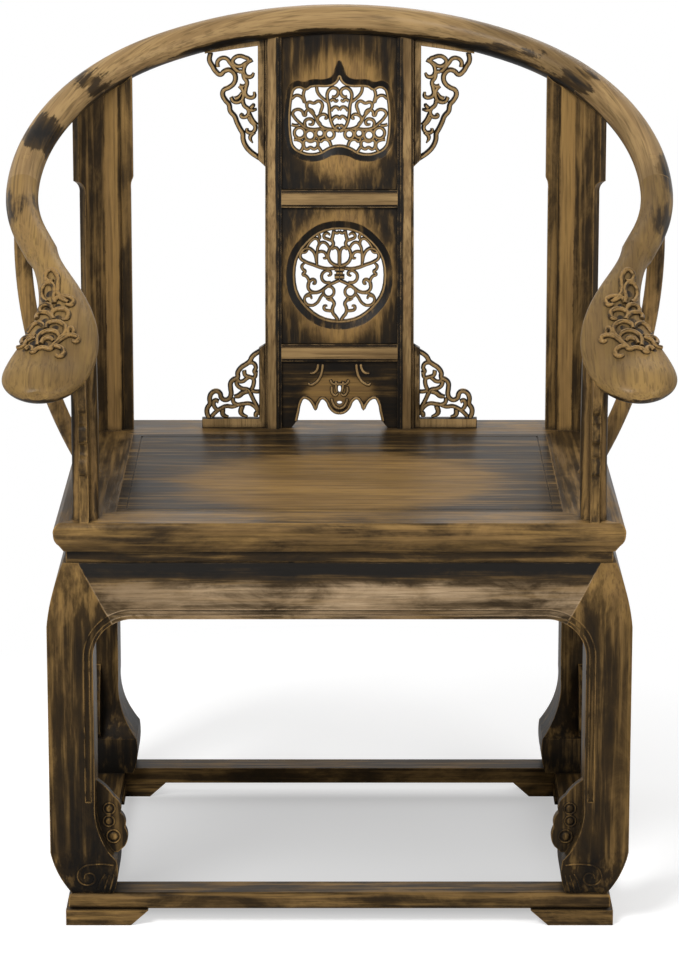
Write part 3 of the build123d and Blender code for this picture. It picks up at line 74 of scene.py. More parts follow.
class ChairFinish(bpy.types.PropertyGroup):
    """Colours of the wood and of the rubbed lacquer over it."""

    wood_light: bpy.props.FloatVectorProperty(
        name="Light wood",
        description="Bare wood of the rail, stiles, cross rails and openwork",
        subtype="COLOR",
        size=3,
        default=(0.385, 0.25, 0.108),
    )
    wood_deep: bpy.props.FloatVectorProperty(
        name="Deep wood",
        description="Grain lines and stained wood",
        subtype="COLOR",
        size=3,
        default=(0.2, 0.118, 0.05),
    )
    wood_grey: bpy.props.FloatVectorProperty(
        name="Grey wood",
        description="Dry wood of the aprons",
        subtype="COLOR",
        size=3,
        default=(0.40, 0.285, 0.17),
    )
    lacquer: bpy.props.FloatVectorProperty(
        name="Lacquer",
        description="Black lacquer that is left on the wood",
        subtype="COLOR",
        size=3,
        default=(0.011, 0.0095, 0.008),
    )
    lacquer_brown: bpy.props.FloatVectorProperty(
        name="Thin lacquer",
        description="Lacquer rubbed so thin that the wood colours it",
        subtype="COLOR",
        size=3,
        default=(0.055, 0.033, 0.013),
    )
    olive_wood: bpy.props.FloatVectorProperty(
        name="Olive wood",
        description="Bare wood of the arms",
        subtype="COLOR",
        size=3,
        default=(0.3, 0.185, 0.062),
    )
    golden_wood: bpy.props.FloatVectorProperty(
        name="Golden wood",
        description="Bare wood of the posts, boards, seat, legs and floor frame",
        subtype="COLOR",
        size=3,
        default=(0.33, 0.196, 0.066),
    )
    gloss: bpy.props.FloatProperty(
        name="Lacquer roughness",
        description="Roughness of the lacquer that is left",
        subtype="FACTOR",
        min=0.0,
        max=1.0,
        default=0.34,
    )
    edge_radius: bpy.props.FloatProperty(
        name="Worn edge",
        description="Width of the rubbed band along an edge",
        unit="LENGTH",
        default=2.6 * MM,
    )
    # Reach of the occlusion mask that lays painted shade and gathered polish into grooves and corners
    grime_reach: bpy.props.FloatProperty(
        name="Grime reach",
        description="Width of the grooves and corners that old polish fills",
        unit="LENGTH",
        default=10.0 * MM,
    )


class ChairStage(bpy.types.PropertyGroup):
    """Camera and light of the stage."""

    camera_distance: bpy.props.FloatProperty(
        name="Camera distance",
        description="How far the camera stands in front of the seat's middle",
        unit="LENGTH",
        default=4.327,
    )
    camera_height: bpy.props.FloatProperty(
        name="Camera height",
        description="Height of the camera above the floor",
        unit="LENGTH",
        default=1.592,
    )
    camera_pitch: bpy.props.FloatProperty(
        name="Camera pitch",
        description="How far the camera looks down",
        unit="ROTATION",
        default=math.radians(12.49),
    )
    focal_pixels: bpy.props.FloatProperty(
        name="Focal length in pixels",
        description="Focal length, in pixels of the image",
        default=3745.0,
    )
    shift: bpy.props.FloatProperty(
        name="Vertical shift",
        description="Vertical shift of the lens, as a share of the image height",
        default=-0.14,
    )
    key_power: bpy.props.FloatProperty(
        name="Key light",
        description="Power of the large light at the upper left",
        unit="POWER",
        default=84.0,
    )
    fill_power: bpy.props.FloatProperty(
        name="Fill light",
        description="Power of the large lights at the right and at the back",
        unit="POWER",
        default=26.0,
    )


# Shader building


class Nodes:
    """Places shader nodes in one tree and links them."""

    def __init__(self, tree):
        self.tree = tree
        tree.nodes.clear()

    def add(self, kind, feeds=None, **settings):
        node = self.tree.nodes.new(kind)
        for name, value in settings.items():
            setattr(node, name, value)
        for name, value in (feeds or {}).items():
            self.feed(node.inputs[name], value)
        return node

    def feed(self, socket, value):
        if isinstance(value, bpy.types.NodeSocket):
            self.tree.links.new(value, socket)
        else:
            socket.default_value = value

    def math(self, operation, a, b=0.0, c=0.0, clamp=False):
        node = self.add("ShaderNodeMath", {0: a, 1: b, 2: c}, operation=operation, use_clamp=clamp)
        return node.outputs[0]

    def vector(self, operation, a, b=(0.0, 0.0, 0.0)):
        node = self.add("ShaderNodeVectorMath", {0: a, 1: b}, operation=operation)
        return node.outputs["Value" if operation in ("LENGTH", "DOT_PRODUCT", "DISTANCE") else "Vector"]

    def split(self, vector):
        return self.add("ShaderNodeSeparateXYZ", {0: vector}).outputs

    def join(self, x, y, z):
        return self.add("ShaderNodeCombineXYZ", {0: x, 1: y, 2: z}).outputs[0]

    def noise(self, vector, scale, detail=3.0, roughness=0.5, distortion=0.0):
        feeds = {"Vector": vector, "Scale": scale, "Detail": detail, "Roughness": roughness}
        feeds["Distortion"] = distortion
        return self.add("ShaderNodeTexNoise", feeds).outputs["Fac"]

    def mix(self, share, a, b):
        node = self.add("ShaderNodeMix", {0: share, 6: a, 7: b}, data_type="RGBA")
        return node.outputs[2]

    def blend(self, share, a, b):
        return self.add("ShaderNodeMix", {0: share, 2: a, 3: b}).outputs[0]

    def ramp(self, value, start, end, to_start=0.0, to_end=1.0):
        feeds = {0: value, 1: start, 2: end, 3: to_start, 4: to_end}
        return self.add("ShaderNodeMapRange", feeds, interpolation_type="SMOOTHSTEP").outputs[0]

    def group(self, tree, **feeds):
        node = self.add("ShaderNodeGroup", node_tree=tree)
        for name, value in feeds.items():
            self.feed(node.inputs[name.replace("_", " ")], value)
        return node.outputs


SOCKETS = {"vector": "NodeSocketVector", "value": "NodeSocketFloat", "color": "NodeSocketColor"}


def start_group(name, inputs, outputs):
    """Start a shader node group, and return its tree, its node builder and its inputs."""
    tree = bpy.data.node_groups.new(name, "ShaderNodeTree")
    for title, kind in inputs.items():
        tree.interface.new_socket(name=title, in_out="INPUT", socket_type=SOCKETS[kind])
    for title, kind in outputs.items():
        tree.interface.new_socket(name=title, in_out="OUTPUT", socket_type=SOCKETS[kind])
    nodes = Nodes(tree)
    return tree, nodes, nodes.add("NodeGroupInput").outputs


def end_group(nodes, **results):
    """Feed a group's outputs."""
    nodes.add("NodeGroupOutput", {name.replace("_", " "): value for name, value in results.items()})


def build_wood_grain():
    """Grain lines of wood that run along Z: a colour mask, fine pores and a height."""
    tree, n, given = start_group(
        "Wood Grain",
        {"Vector": "vector"},
        {"Figure": "value", "Pores": "value", "Height": "value"},
    )
    stretched = n.vector("MULTIPLY", given["Vector"], (1.0, 1.0, 0.055))
    figure = n.noise(stretched, 46.0, 5.0, 0.62, 0.6)
    fine = n.vector("MULTIPLY", given["Vector"], (1.0, 1.0, 0.03))
    pores = n.noise(fine, 420.0, 2.0, 0.6)
    lines = n.ramp(n.noise(fine, 170.0, 3.0, 0.6), 0.38, 0.62)
    figure = n.math("ADD", n.math("MULTIPLY", figure, 0.72), n.math("MULTIPLY", lines, 0.28))
    dark_pores = n.ramp(pores, 0.5, 0.66)
    height = n.math("SUBTRACT", n.math("MULTIPLY", lines, 0.5), dark_pores)
    end_group(n, Figure=n.ramp(figure, 0.33, 0.66), Pores=dark_pores, Height=height)
    return tree


def build_edge_wear():
    """A mask that is 1 on sharp outer edges, from a rounded normal."""
    tree, n, given = start_group("Edge Wear", {"Radius": "value", "Vector": "vector"}, {"Edge": "value"})
    rounded = n.add("ShaderNodeBevel", {"Radius": given["Radius"]}, samples=6).outputs[0]
    flat = n.add("ShaderNodeNewGeometry").outputs["True Normal"]
    turned = n.math("SUBTRACT", 1.0, n.vector("DOT_PRODUCT", rounded, flat))
    broken = n.noise(given["Vector"], 70.0, 4.0, 0.65)
    edge = n.math("MULTIPLY", n.ramp(turned, 0.015, 0.16), n.ramp(broken, 0.3, 0.6))
    end_group(n, Edge=edge)
    return tree


def build_grime():
    """A mask that is 1 in grooves, corners and carved depths, from ambient occlusion: painted shade there,
    with the old polish that has gathered there.
    """
    tree, n, given = start_group("Gathered Grime", {"Reach": "value", "Vector": "vector"}, {"Grime": "value"})
    # Ambient occlusion: darker where shade falls in grooves, corners and between parts
    open_air = n.add("ShaderNodeAmbientOcclusion", {"Distance": given["Reach"]}, samples=5).outputs["AO"]
    broken = n.noise(given["Vector"], 55.0, 4.0, 0.65)
    shade = n.math("ADD", open_air, n.math("MULTIPLY", n.math("SUBTRACT", broken, 0.5), 0.35))
    end_group(n, Grime=n.ramp(shade, 0.82, 0.42))
    return tree


def build_soft_spot():
    """A mask that falls from 1 at a place to 0 at the given reach along each axis."""
    tree, n, given = start_group(
        "Soft Spot", {"Vector": "vector", "Place": "vector", "Reach": "vector"}, {"Spot": "value"}
    )
    away = n.vector("DIVIDE", n.vector("SUBTRACT", given["Vector"], given["Place"]), given["Reach"])
    end_group(n, Spot=n.ramp(n.vector("LENGTH", away), 1.0, 0.0))
    return tree


def build_rail_coordinates():
    """Turn places on the horseshoe rail so that Z runs along it, from the middle of the back."""
    tree, n, given = start_group("Rail Coordinates", {"Vector": "vector"}, {"Vector": "vector"})
    x, y, z = n.split(given["Vector"])
    behind = n.math("MAXIMUM", n.math("MULTIPLY", y, 1.17), 0.0)
    ahead = n.math("MAXIMUM", n.math("MULTIPLY", y, -1.1), 0.0)
    angle = n.math("ARCTAN2", x, behind)
    bend_radius = 0.36
    along = n.math("MULTIPLY", angle, bend_radius)
    along = n.math("ADD", along, n.math("MULTIPLY", n.math("SIGN", x), ahead))
    out = n.math("SQRT", n.math("ADD", n.math("MULTIPLY", x, x), n.math("MULTIPLY", behind, behind)))
    rail_slope = 0.62
    above = n.math("SUBTRACT", z, n.math("MULTIPLY", y, rail_slope))
    end_group(n, Vector=n.join(out, above, along))
    return tree


def build_rubbed_lacquer(finish):
    """Black lacquer over wood, rubbed through where Wear and Edge ask for it. The grain runs along Z.

    Figure sets how strongly the grain shows, Stain how much of the wood is stained dark, Brown how much
    of the thin lacquer shows brown, and Soft how gently the bare wood ends.
    """
    tree, n, given = start_group(
        "Rubbed Lacquer",
        {
            "Vector": "vector",
            "Wear": "value",
            "Edge": "value",
            "Grime": "value",
            "Wood": "color",
            "Figure": "value",
            "Stain": "value",
            "Brown": "value",
            "Soft": "value",
        },
        {"Color": "color", "Roughness": "value", "Height": "value"},
    )
    vector = given["Vector"]
    grain = n.group(groups["grain"], Vector=vector)
    veins = n.math("MULTIPLY", n.math("SUBTRACT", 1.0, grain["Figure"]), given["Figure"])
    wood = n.mix(veins, given["Wood"], (*finish.wood_deep, 1.0))
    wood = n.mix(n.math("MULTIPLY", grain["Pores"], 0.4), wood, (*finish.lacquer_brown, 1.0))
    tone = n.noise(n.vector("MULTIPLY", vector, (1.0, 1.0, 0.3)), 14.0, 5.0, 0.62)
    stained = n.math("MULTIPLY", n.ramp(tone, 0.38, 0.66), given["Stain"])
    wood = n.mix(stained, wood, (*finish.lacquer_brown, 1.0))
    patches = n.noise(n.vector("MULTIPLY", vector, (1.0, 1.0, 0.45)), 24.0, 8.0, 0.7, 0.4)
    brushed = n.noise(n.vector("MULTIPLY", vector, (1.0, 1.0, 0.05)), 130.0, 3.0, 0.6)
    ragged = n.math("ADD", n.math("MULTIPLY", patches, 0.66), n.math("MULTIPLY", brushed, 0.34))
    asked = n.math("ADD", given["Wear"], n.math("MULTIPLY", given["Edge"], 0.55))
    level = n.math("ADD", ragged, n.math("MULTIPLY", n.math("SUBTRACT", asked, 0.5), 0.62))
    start = n.math("SUBTRACT", 0.52, given["Soft"])
    bare = n.ramp(level, start, n.math("ADD", 0.52, given["Soft"]))
    thin = n.math("MULTIPLY", n.ramp(level, n.math("SUBTRACT", start, 0.22), 0.54), given["Brown"])
    coat = n.mix(thin, (*finish.lacquer, 1.0), (*finish.lacquer_brown, 1.0))
    streaks = n.math("MULTIPLY", n.ramp(brushed, 0.48, 0.68), n.math("MULTIPLY", thin, 0.5))
    coat = n.mix(streaks, coat, (*finish.golden_wood, 1.0))
    color = n.mix(bare, coat, wood)
    # Painted shade and gathered polish: lacquer colour laid where the occlusion mask finds grooves and
    # corners
    color = n.mix(n.math("MULTIPLY", given["Grime"], 0.85), color, (*finish.lacquer, 1.0))
    roughness = n.blend(bare, finish.gloss, 0.44)
    roughness = n.math("ADD", roughness, n.math("MULTIPLY", n.math("SUBTRACT", patches, 0.5), 0.3))
    relief = n.math("MULTIPLY", grain["Height"], n.blend(bare, 0.35, 1.0))
    height = n.math("SUBTRACT", relief, n.math("MULTIPLY", bare, 0.9))
    end_group(n, Color=color, Roughness=roughness, Height=height)
    return tree


groups = {}
finishes = {}


def object_place(n):
    """Places on the chair, in metres."""
    return n.add("ShaderNodeTexCoord").outputs["Object"]


def along(n, place, axis):
    """Turn places so that the grain, which runs along the given axis, lies along Z."""
    x, y, z = n.split(place)
    return {"X": n.join(y, z, x), "Y": n.join(x, z, y), "Z": place}[axis]


def spot(n, place, where, reach):
    """A soft spot, 1 at its middle."""
    return n.group(groups["spot"], Vector=place, Place=where, Reach=reach)["Spot"]


def lacquered(
    name,
    wear,
    grain="Z",
    wood=None,
    figure=0.6,
    stain=0.4,
    brown=0.85,
    soft=0.08,
    edge=1.0,
    polish=0.0,
    shine=0.08,
):
    """Make a rubbed lacquer material. wear(n, place) builds its wear mask."""
    finish = bpy.context.scene.chair_finish
    material = bpy.data.materials.new(name)
    material.use_nodes = True
    n = Nodes(material.node_tree)
    place = object_place(n)
    turned = n.group(groups["rail"], Vector=place)["Vector"] if grain == "rail" else along(n, place, grain)
    edges = n.group(groups["edge"], Radius=finish.edge_radius, Vector=place)["Edge"]
    rubbed = n.group(
        groups["lacquer"],
        Vector=turned,
        Wear=wear(n, place),
        Edge=n.math("MULTIPLY", edges, edge),
        # Painted shade and gathered polish from the occlusion mask
        Grime=n.group(groups["grime"], Reach=finish.grime_reach, Vector=place)["Grime"],
        Wood=(*(wood or finish.wood_light), 1.0),
        Figure=figure,
        Stain=stain,
        Brown=brown,
        Soft=soft,
    )
    raised = n.add("ShaderNodeBump", {"Strength": 0.35, "Distance": 0.4 * MM, "Height": rubbed["Height"]})
    surface = n.add(
        "ShaderNodeBsdfPrincipled",
        {
            "Base Color": rubbed["Color"],
            "Roughness": rubbed["Roughness"],
            "Normal": raised.outputs[0],
            "Specular IOR Level": shine,
            "Coat Weight": polish,
            "Coat Roughness": 0.24,
        },
    )
    n.add("ShaderNodeOutputMaterial", {"Surface": surface.outputs[0]})
    finishes[name] = material
    return material


def dress(material, *names):
    """Give CAD nodes a finish."""
    for name in names:
        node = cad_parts[name]
        node.data.materials.clear()
        node.data.materials.append(material)


# Wear masks

# Black patches left on the rail: where, how far they reach and how dark they are
RAIL_PATCHES = (
    ((-0.352, 0.075, 0.872), (0.05, 0.075, 0.05), 0.7),
    ((-0.372, -0.02, 0.80), (0.05, 0.06, 0.04), 0.66),
    ((-0.30, 0.16, 0.925), (0.05, 0.05, 0.04), 0.48),
    ((0.19, 0.235, 0.95), (0.13, 0.1, 0.03), 0.56),
    ((0.29, 0.17, 0.925), (0.06, 0.06, 0.035), 0.48),
    ((0.385, 0.03, 0.835), (0.032, 0.09, 0.06), 0.7),
    ((0.376, -0.05, 0.79), (0.03, 0.06, 0.05), 0.58),
    ((-0.15, 0.26, 0.955), (0.08, 0.06, 0.02), 0.5),
)

RAIL_BARE = 0.86
SEAT_OVAL_REACH = (0.27, 0.2, 0.3)
SEAT_OVAL_FORWARD = 0.05
# Reach and darkness of the painted shade and lacquer in the carved pits of the hand-rests
PIT_SPREAD = 1.5
PIT_DARKNESS = 0.62
STILE_STRIP = (0.107, 0.1)
STILE_STRIP_DARKNESS = 0.25


def even(value):
    """A wear mask that is the same all over."""
    return lambda n, place: value


def rail_wear(n, place):
    """Rail: nearly bare, with ragged black patches on the shoulders, and painted shade on the faces that look
    down.
    """
    wear = RAIL_BARE
    for where, reach, strength in RAIL_PATCHES:
        wear = n.math("SUBTRACT", wear, n.math("MULTIPLY", spot(n, place, where, reach), strength))
    # Painted shade: faces that look down are darkened, as under a light from above
    normal = n.split(n.add("ShaderNodeNewGeometry").outputs["Normal"])[2]
    return n.math("SUBTRACT", wear, n.ramp(normal, -0.1, -0.8, 0.0, 0.6))


def panel_wear(n, place):
    """Seat panel: a rubbed oval in the middle."""
    middle = (low("seat_panel") + high("seat_panel")) / 2
    oval = spot(n, place, (middle.x, middle.y - SEAT_OVAL_FORWARD, middle.z), SEAT_OVAL_REACH)
    return n.ramp(oval, 0.0, 0.55, 0.2, 0.95)


def halo_wear(where, reach, least=0.1, most=0.95):
    """Board: black, with a rubbed halo around its openwork."""
    return lambda n, place: n.ramp(spot(n, place, where, reach), 0.05, 0.6, least, most)


def apron_wear(n, place):
    """Apron: rubbed bare, with lacquer left along its top, at its ends and in the groove behind its lip."""
    top, foot = high("front_apron").z, low("front_apron").z
    x, y, height = n.split(place)
    upper = n.ramp(height, top - 0.003, top - 0.028, 0.3, 0.95)
    lower = n.ramp(height, foot + 0.014, foot + 0.004, 0.0, 0.3)
    reach = n.math("MAXIMUM", n.math("ABSOLUTE", x), n.math("ADD", n.math("ABSOLUTE", y), 0.07))
    ends = n.ramp(reach, 0.2, 0.3, 0.0, 0.42)
    return n.math("SUBTRACT", upper, n.math("ADD", lower, ends))


def leg_wear(n, place):
    """Leg: dark and brown, with bare wood along its outer edges and at its shoulder."""
    x, _, z = n.split(place)
    outer = n.ramp(n.math("ABSOLUTE", x), 0.30, 0.33, 0.0, 0.16)
    shoulder = n.ramp(z, 0.34, 0.43, 0.0, 0.26)
    low_end = n.ramp(z, 0.14, 0.04, 0.0, 0.2)
    right = n.ramp(x, -0.1, 0.1, 0.0, 0.1)
    rubbed = n.math("ADD", n.math("ADD", 0.22, right), n.math("ADD", outer, shoulder))
    return n.math("SUBTRACT", rubbed, low_end)


def stile_wear(n, place):
    """Stile: a bare bead along its outer side, black on its inner side."""
    inner, outer = low("splat_right_stile").x, high("splat_right_stile").x
    x = n.math("ABSOLUTE", n.split(place)[0])
    bead = n.ramp(x, inner + 0.005, inner + 0.0085, 0.05, 0.74)
    return n.math("SUBTRACT", bead, n.ramp(x, outer - 0.004, outer, 0.0, 0.4))


def bar_wear(node):
    """Cross rail: a bare bead with black edges above and below."""

    def wear(n, place):
        foot, head = low(node).z, high(node).z
        off = n.math("ABSOLUTE", n.math("SUBTRACT", n.split(place)[2], (foot + head) / 2))
        return n.ramp(off, 0.22 * (head - foot), 0.46 * (head - foot), 0.76, 0.2)

    return wear


def arm_wear(n, place):
    """Arm: as the rail, with painted shade and lacquer left in the depths of the carving of its hand-rest."""
    wear = rail_wear(n, place)
    x, y, z = n.split(place)
    folded = n.join(n.math("MULTIPLY", n.math("ABSOLUTE", x), -1.0), y, z)
    tree = node_surface("left_arm")
    # Painted shade and lacquer in the carving's depths, at each pit
    for across, down, radius in HAND_REST_PITS:
        spot_place, _ = land(tree, HAND_REST_PIXELS, HAND_REST_CORNER, (across, down))
        shaded_pit = spot(n, folded, tuple(spot_place), (radius * PIT_SPREAD * MM,) * 3)
        wear = n.math("SUBTRACT", wear, n.ramp(shaded_pit, 0.1, 0.5, 0.0, PIT_DARKNESS))
    return wear


def post_wear(center_x, half, least=0.3):
    """Post: rubbed along its middle, black along its sides."""

    def wear(n, place):
        x = n.math("ABSOLUTE", n.split(place)[0])
        off = n.math("ABSOLUTE", n.math("SUBTRACT", x, center_x))
        return n.ramp(off, 0.3 * half, half, 0.8, least)

    return wear


def front_wear_and_highlight(least, most):
    """Carving: rubbed bare and lit by a painted highlight on the faces that look forward or up, with painted
    shade on its sides and in its depth.
    """

    def wear(n, place):
        # Painted highlight and wear: faces that look forward or up are lighter, the others darker as in shade
        normal = n.split(n.add("ShaderNodeNewGeometry").outputs["Normal"])
        facing = n.math("MAXIMUM", n.math("MULTIPLY", normal[1], -1.0), n.math("MULTIPLY", normal[2], 0.9))
        return n.ramp(facing, 0.6, 0.97, least, most)

    return wear


def fretwork_wear(n, place):
    """Openwork corner: bare, with a painted highlight, on its front, a little darker beside the stile."""
    x = n.math("ABSOLUTE", n.split(place)[0])
    strip = n.ramp(x, *STILE_STRIP, 0.0, STILE_STRIP_DARKNESS)
    return n.math("SUBTRACT", front_wear_and_highlight(0.02, 0.8)(n, place), strip)


# Boards, openwork and carving


class Line:
    """One line of a carved ornament: its points, whether it closes, its thickness, ends and sharp corners."""

    def __init__(self, *points, closed=False, thick=1.0, tip=0.6, sharp=()):
        self.points, self.closed, self.thick, self.tip, self.sharp = points, closed, thick, tip, sharp

    def mirrored(self):
        """The same line on the other side of the middle."""
        points = [(-point[0], *point[1:]) for point in self.points]
        return Line(*points, closed=self.closed, thick=self.thick, tip=self.tip, sharp=self.sharp)


def both_sides(lines):
    """Lines of one half, with their mirror images."""
    return [*lines, *(line.mirrored() for line in lines)]


def draw(lines, flat=False, resolution=5, scale=MM, **settings):
    """Draw lines as one curve, and return its mesh."""
    data = bpy.data.curves.new("line", "CURVE")
    data.dimensions = "2D" if flat else "3D"
    data.resolution_u = resolution
    for name, value in settings.items():
        setattr(data, name, value)
    for line in lines:
        spline = data.splines.new("BEZIER")
        spline.bezier_points.add(len(line.points) - 1)
        spline.use_cyclic_u = line.closed
        last = len(line.points) - 1
        for number, (knot, point) in enumerate(zip(spline.bezier_points, line.points)):
            knot.co = Vector((*point, 0.0)[:3]) * scale
            knot.handle_left_type = "VECTOR" if number in line.sharp else "AUTO"
            knot.handle_right_type = knot.handle_left_type
            ending = not line.closed and number in (0, last)
            knot.radius = line.thick * (line.tip if ending and number == last else 1.0)
    holder = bpy.data.objects.new("line", data)
    mesh = bpy.data.meshes.new_from_object(holder)
    bpy.data.objects.remove(holder)
    bpy.data.curves.remove(data)
    return mesh


def smooth(mesh, angle=0.7):
    """Shade a mesh smooth between its sharper edges."""
    mesh.shade_smooth()
    mesh.set_sharp_from_angle(angle=angle)


def add_piece(name, mesh, material, replaces=()):
    """Link a finished mesh as a piece that rides on the chair."""
    mesh.name = name
    mesh.materials.clear()
    mesh.materials.append(material)
    piece = bpy.data.objects.new(name, mesh)
    bpy.context.collection.objects.link(piece)
    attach(piece, "root")
    for node in replaces:
        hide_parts(node)
    return piece


def join_meshes(*meshes):
    """Put meshes together in one."""
    shape = bmesh.new()
    for mesh in meshes:
        shape.from_mesh(mesh)
        bpy.data.meshes.remove(mesh)
    whole = bpy.data.meshes.new("whole")
    shape.to_mesh(whole)
    shape.free()
    return whole


# The splat's S-curve: it leans back from the seat and stands upright again under the rail

SPLAT_FOOT = Vector((0.0, 0.209, 0.482))
SPLAT_MIDDLE_RISE = 0.258
SPLAT_TOP_RISE = 0.5005
SPLAT_MIDDLE_LEAN = math.radians(15.2)
SPLAT_TOP_LEAN = math.radians(1.8)
SPLAT_EDGE = 0.092
CORNER_TURN = math.tan(math.radians(16.0))


def splat_depth(height):
    """The depth at which the middle of the splat stands at a height."""
    rise = min(max(height - SPLAT_FOOT.z, 0.0), SPLAT_TOP_RISE)
    lower = SPLAT_MIDDLE_RISE / math.sin(SPLAT_MIDDLE_LEAN)
    if rise <= SPLAT_MIDDLE_RISE:
        return SPLAT_FOOT.y + lower * (1 - math.cos(math.asin(rise / lower)))
    turn = math.sin(SPLAT_MIDDLE_LEAN) - math.sin(SPLAT_TOP_LEAN)
    upper = (SPLAT_TOP_RISE - SPLAT_MIDDLE_RISE) / turn
    lean = math.asin(math.sin(SPLAT_MIDDLE_LEAN) - (rise - SPLAT_MIDDLE_RISE) / upper)
    middle = SPLAT_FOOT.y + lower * (1 - math.cos(SPLAT_MIDDLE_LEAN))
    return middle + upper * (math.cos(lean) - math.cos(SPLAT_MIDDLE_LEAN))


def stand(mesh, height=0.0, depth=0.0, deepen=1.0, turn=0.0):
    """Stand a flat ornament up in the splat's curve: its front faces -Y, and it lies at a depth."""
    shape = bmesh.new()
    shape.from_mesh(mesh)
    upright = Matrix.Rotation(math.radians(90), 4, "X") @ Matrix.Diagonal((1.0, 1.0, deepen, 1.0))
    bmesh.ops.transform(shape, matrix=Matrix.Translation((0.0, depth, height)) @ upright, verts=shape.verts)
    bmesh.ops.remove_doubles(shape, verts=shape.verts, dist=0.01 * MM)
    step = 6 * MM
    heights = [vert.co.z for vert in shape.verts]
    for number in range(int(min(heights) / step) + 1, int(max(heights) / step) + 1):
        cut = shape.verts[:] + shape.edges[:] + shape.faces[:]
        bmesh.ops.bisect_plane(shape, geom=cut, plane_co=(0, 0, number * step), plane_no=(0, 0, 1))
    for vert in shape.verts:
        vert.co.y += splat_depth(vert.co.z) - turn * max(abs(vert.co.x) - SPLAT_EDGE, 0.0)
    bmesh.ops.recalc_face_normals(shape, faces=shape.faces)
    shape.to_mesh(mesh)
    shape.free()
    return mesh


def board(outline, holes, thickness, rounding):
    """A flat board with holes and rounded edges."""
    return draw(
        [outline, *holes],
        flat=True,
        fill_mode="BOTH",
        extrude=thickness / 2 - rounding,
        bevel_depth=rounding,
        bevel_resolution=2,
        offset=-rounding,
    )


def stems(lines, thickness):
    """Round bars along lines."""
    return draw(lines, bevel_depth=thickness / 2, bevel_resolution=3, use_fill_caps=True)


def ring(*loops):
    """A closed ring through loops, each given as a closed line and its distance behind the board's middle."""
    shape = bmesh.new()
    edges = []
    for line, behind in loops:
        mesh = draw([line], resolution=8)
        before = len(shape.edges)
        shape.from_mesh(mesh)
        bpy.data.meshes.remove(mesh)
        shape.edges.ensure_lookup_table()
        edges.append(shape.edges[before:])
        for vert in {vert for edge in edges[-1] for vert in edge.verts}:
            vert.co.z = -behind
    for near, far in zip(edges, [*edges[1:], edges[0]]):
        bmesh.ops.bridge_loops(shape, edges=[*near, *far])
    mesh = bpy.data.meshes.new("ring")
    shape.to_mesh(mesh)
    shape.free()
    return mesh


def oval(x, z, length, width, turn=0.0, bow=0.0):
    """A closed line round an oval hole. A bowed oval bends like a bean."""
    turn = math.radians(turn)
    points = []
    for number in range(8):
        angle = number * math.pi / 4
        along = length * math.cos(angle)
        across = width * math.sin(angle) + bow * (along / length) ** 2
        points.append(
            (
                x + along * math.cos(turn) - across * math.sin(turn),
                z + along * math.sin(turn) + across * math.cos(turn),
            )
        )
    return Line(*points, closed=True)


def circle(x, z, radius, thick=1.0):
    """A closed round line."""
    points = [
        (x + radius * math.cos(number * math.pi / 4), z + radius * math.sin(number * math.pi / 4))
        for number in range(8)
    ]
    return Line(*points, closed=True, thick=thick)


def closed_half(points, **settings):
    """A closed line from the points of its right half, from the top to the bottom."""
    left = [(-x, z) for x, z in reversed(points) if abs(x) > 0.01]
    return Line(*points, *left, closed=True, **settings)


# Ornament lines, in millimetres from the middle of each opening. Each half is mirrored

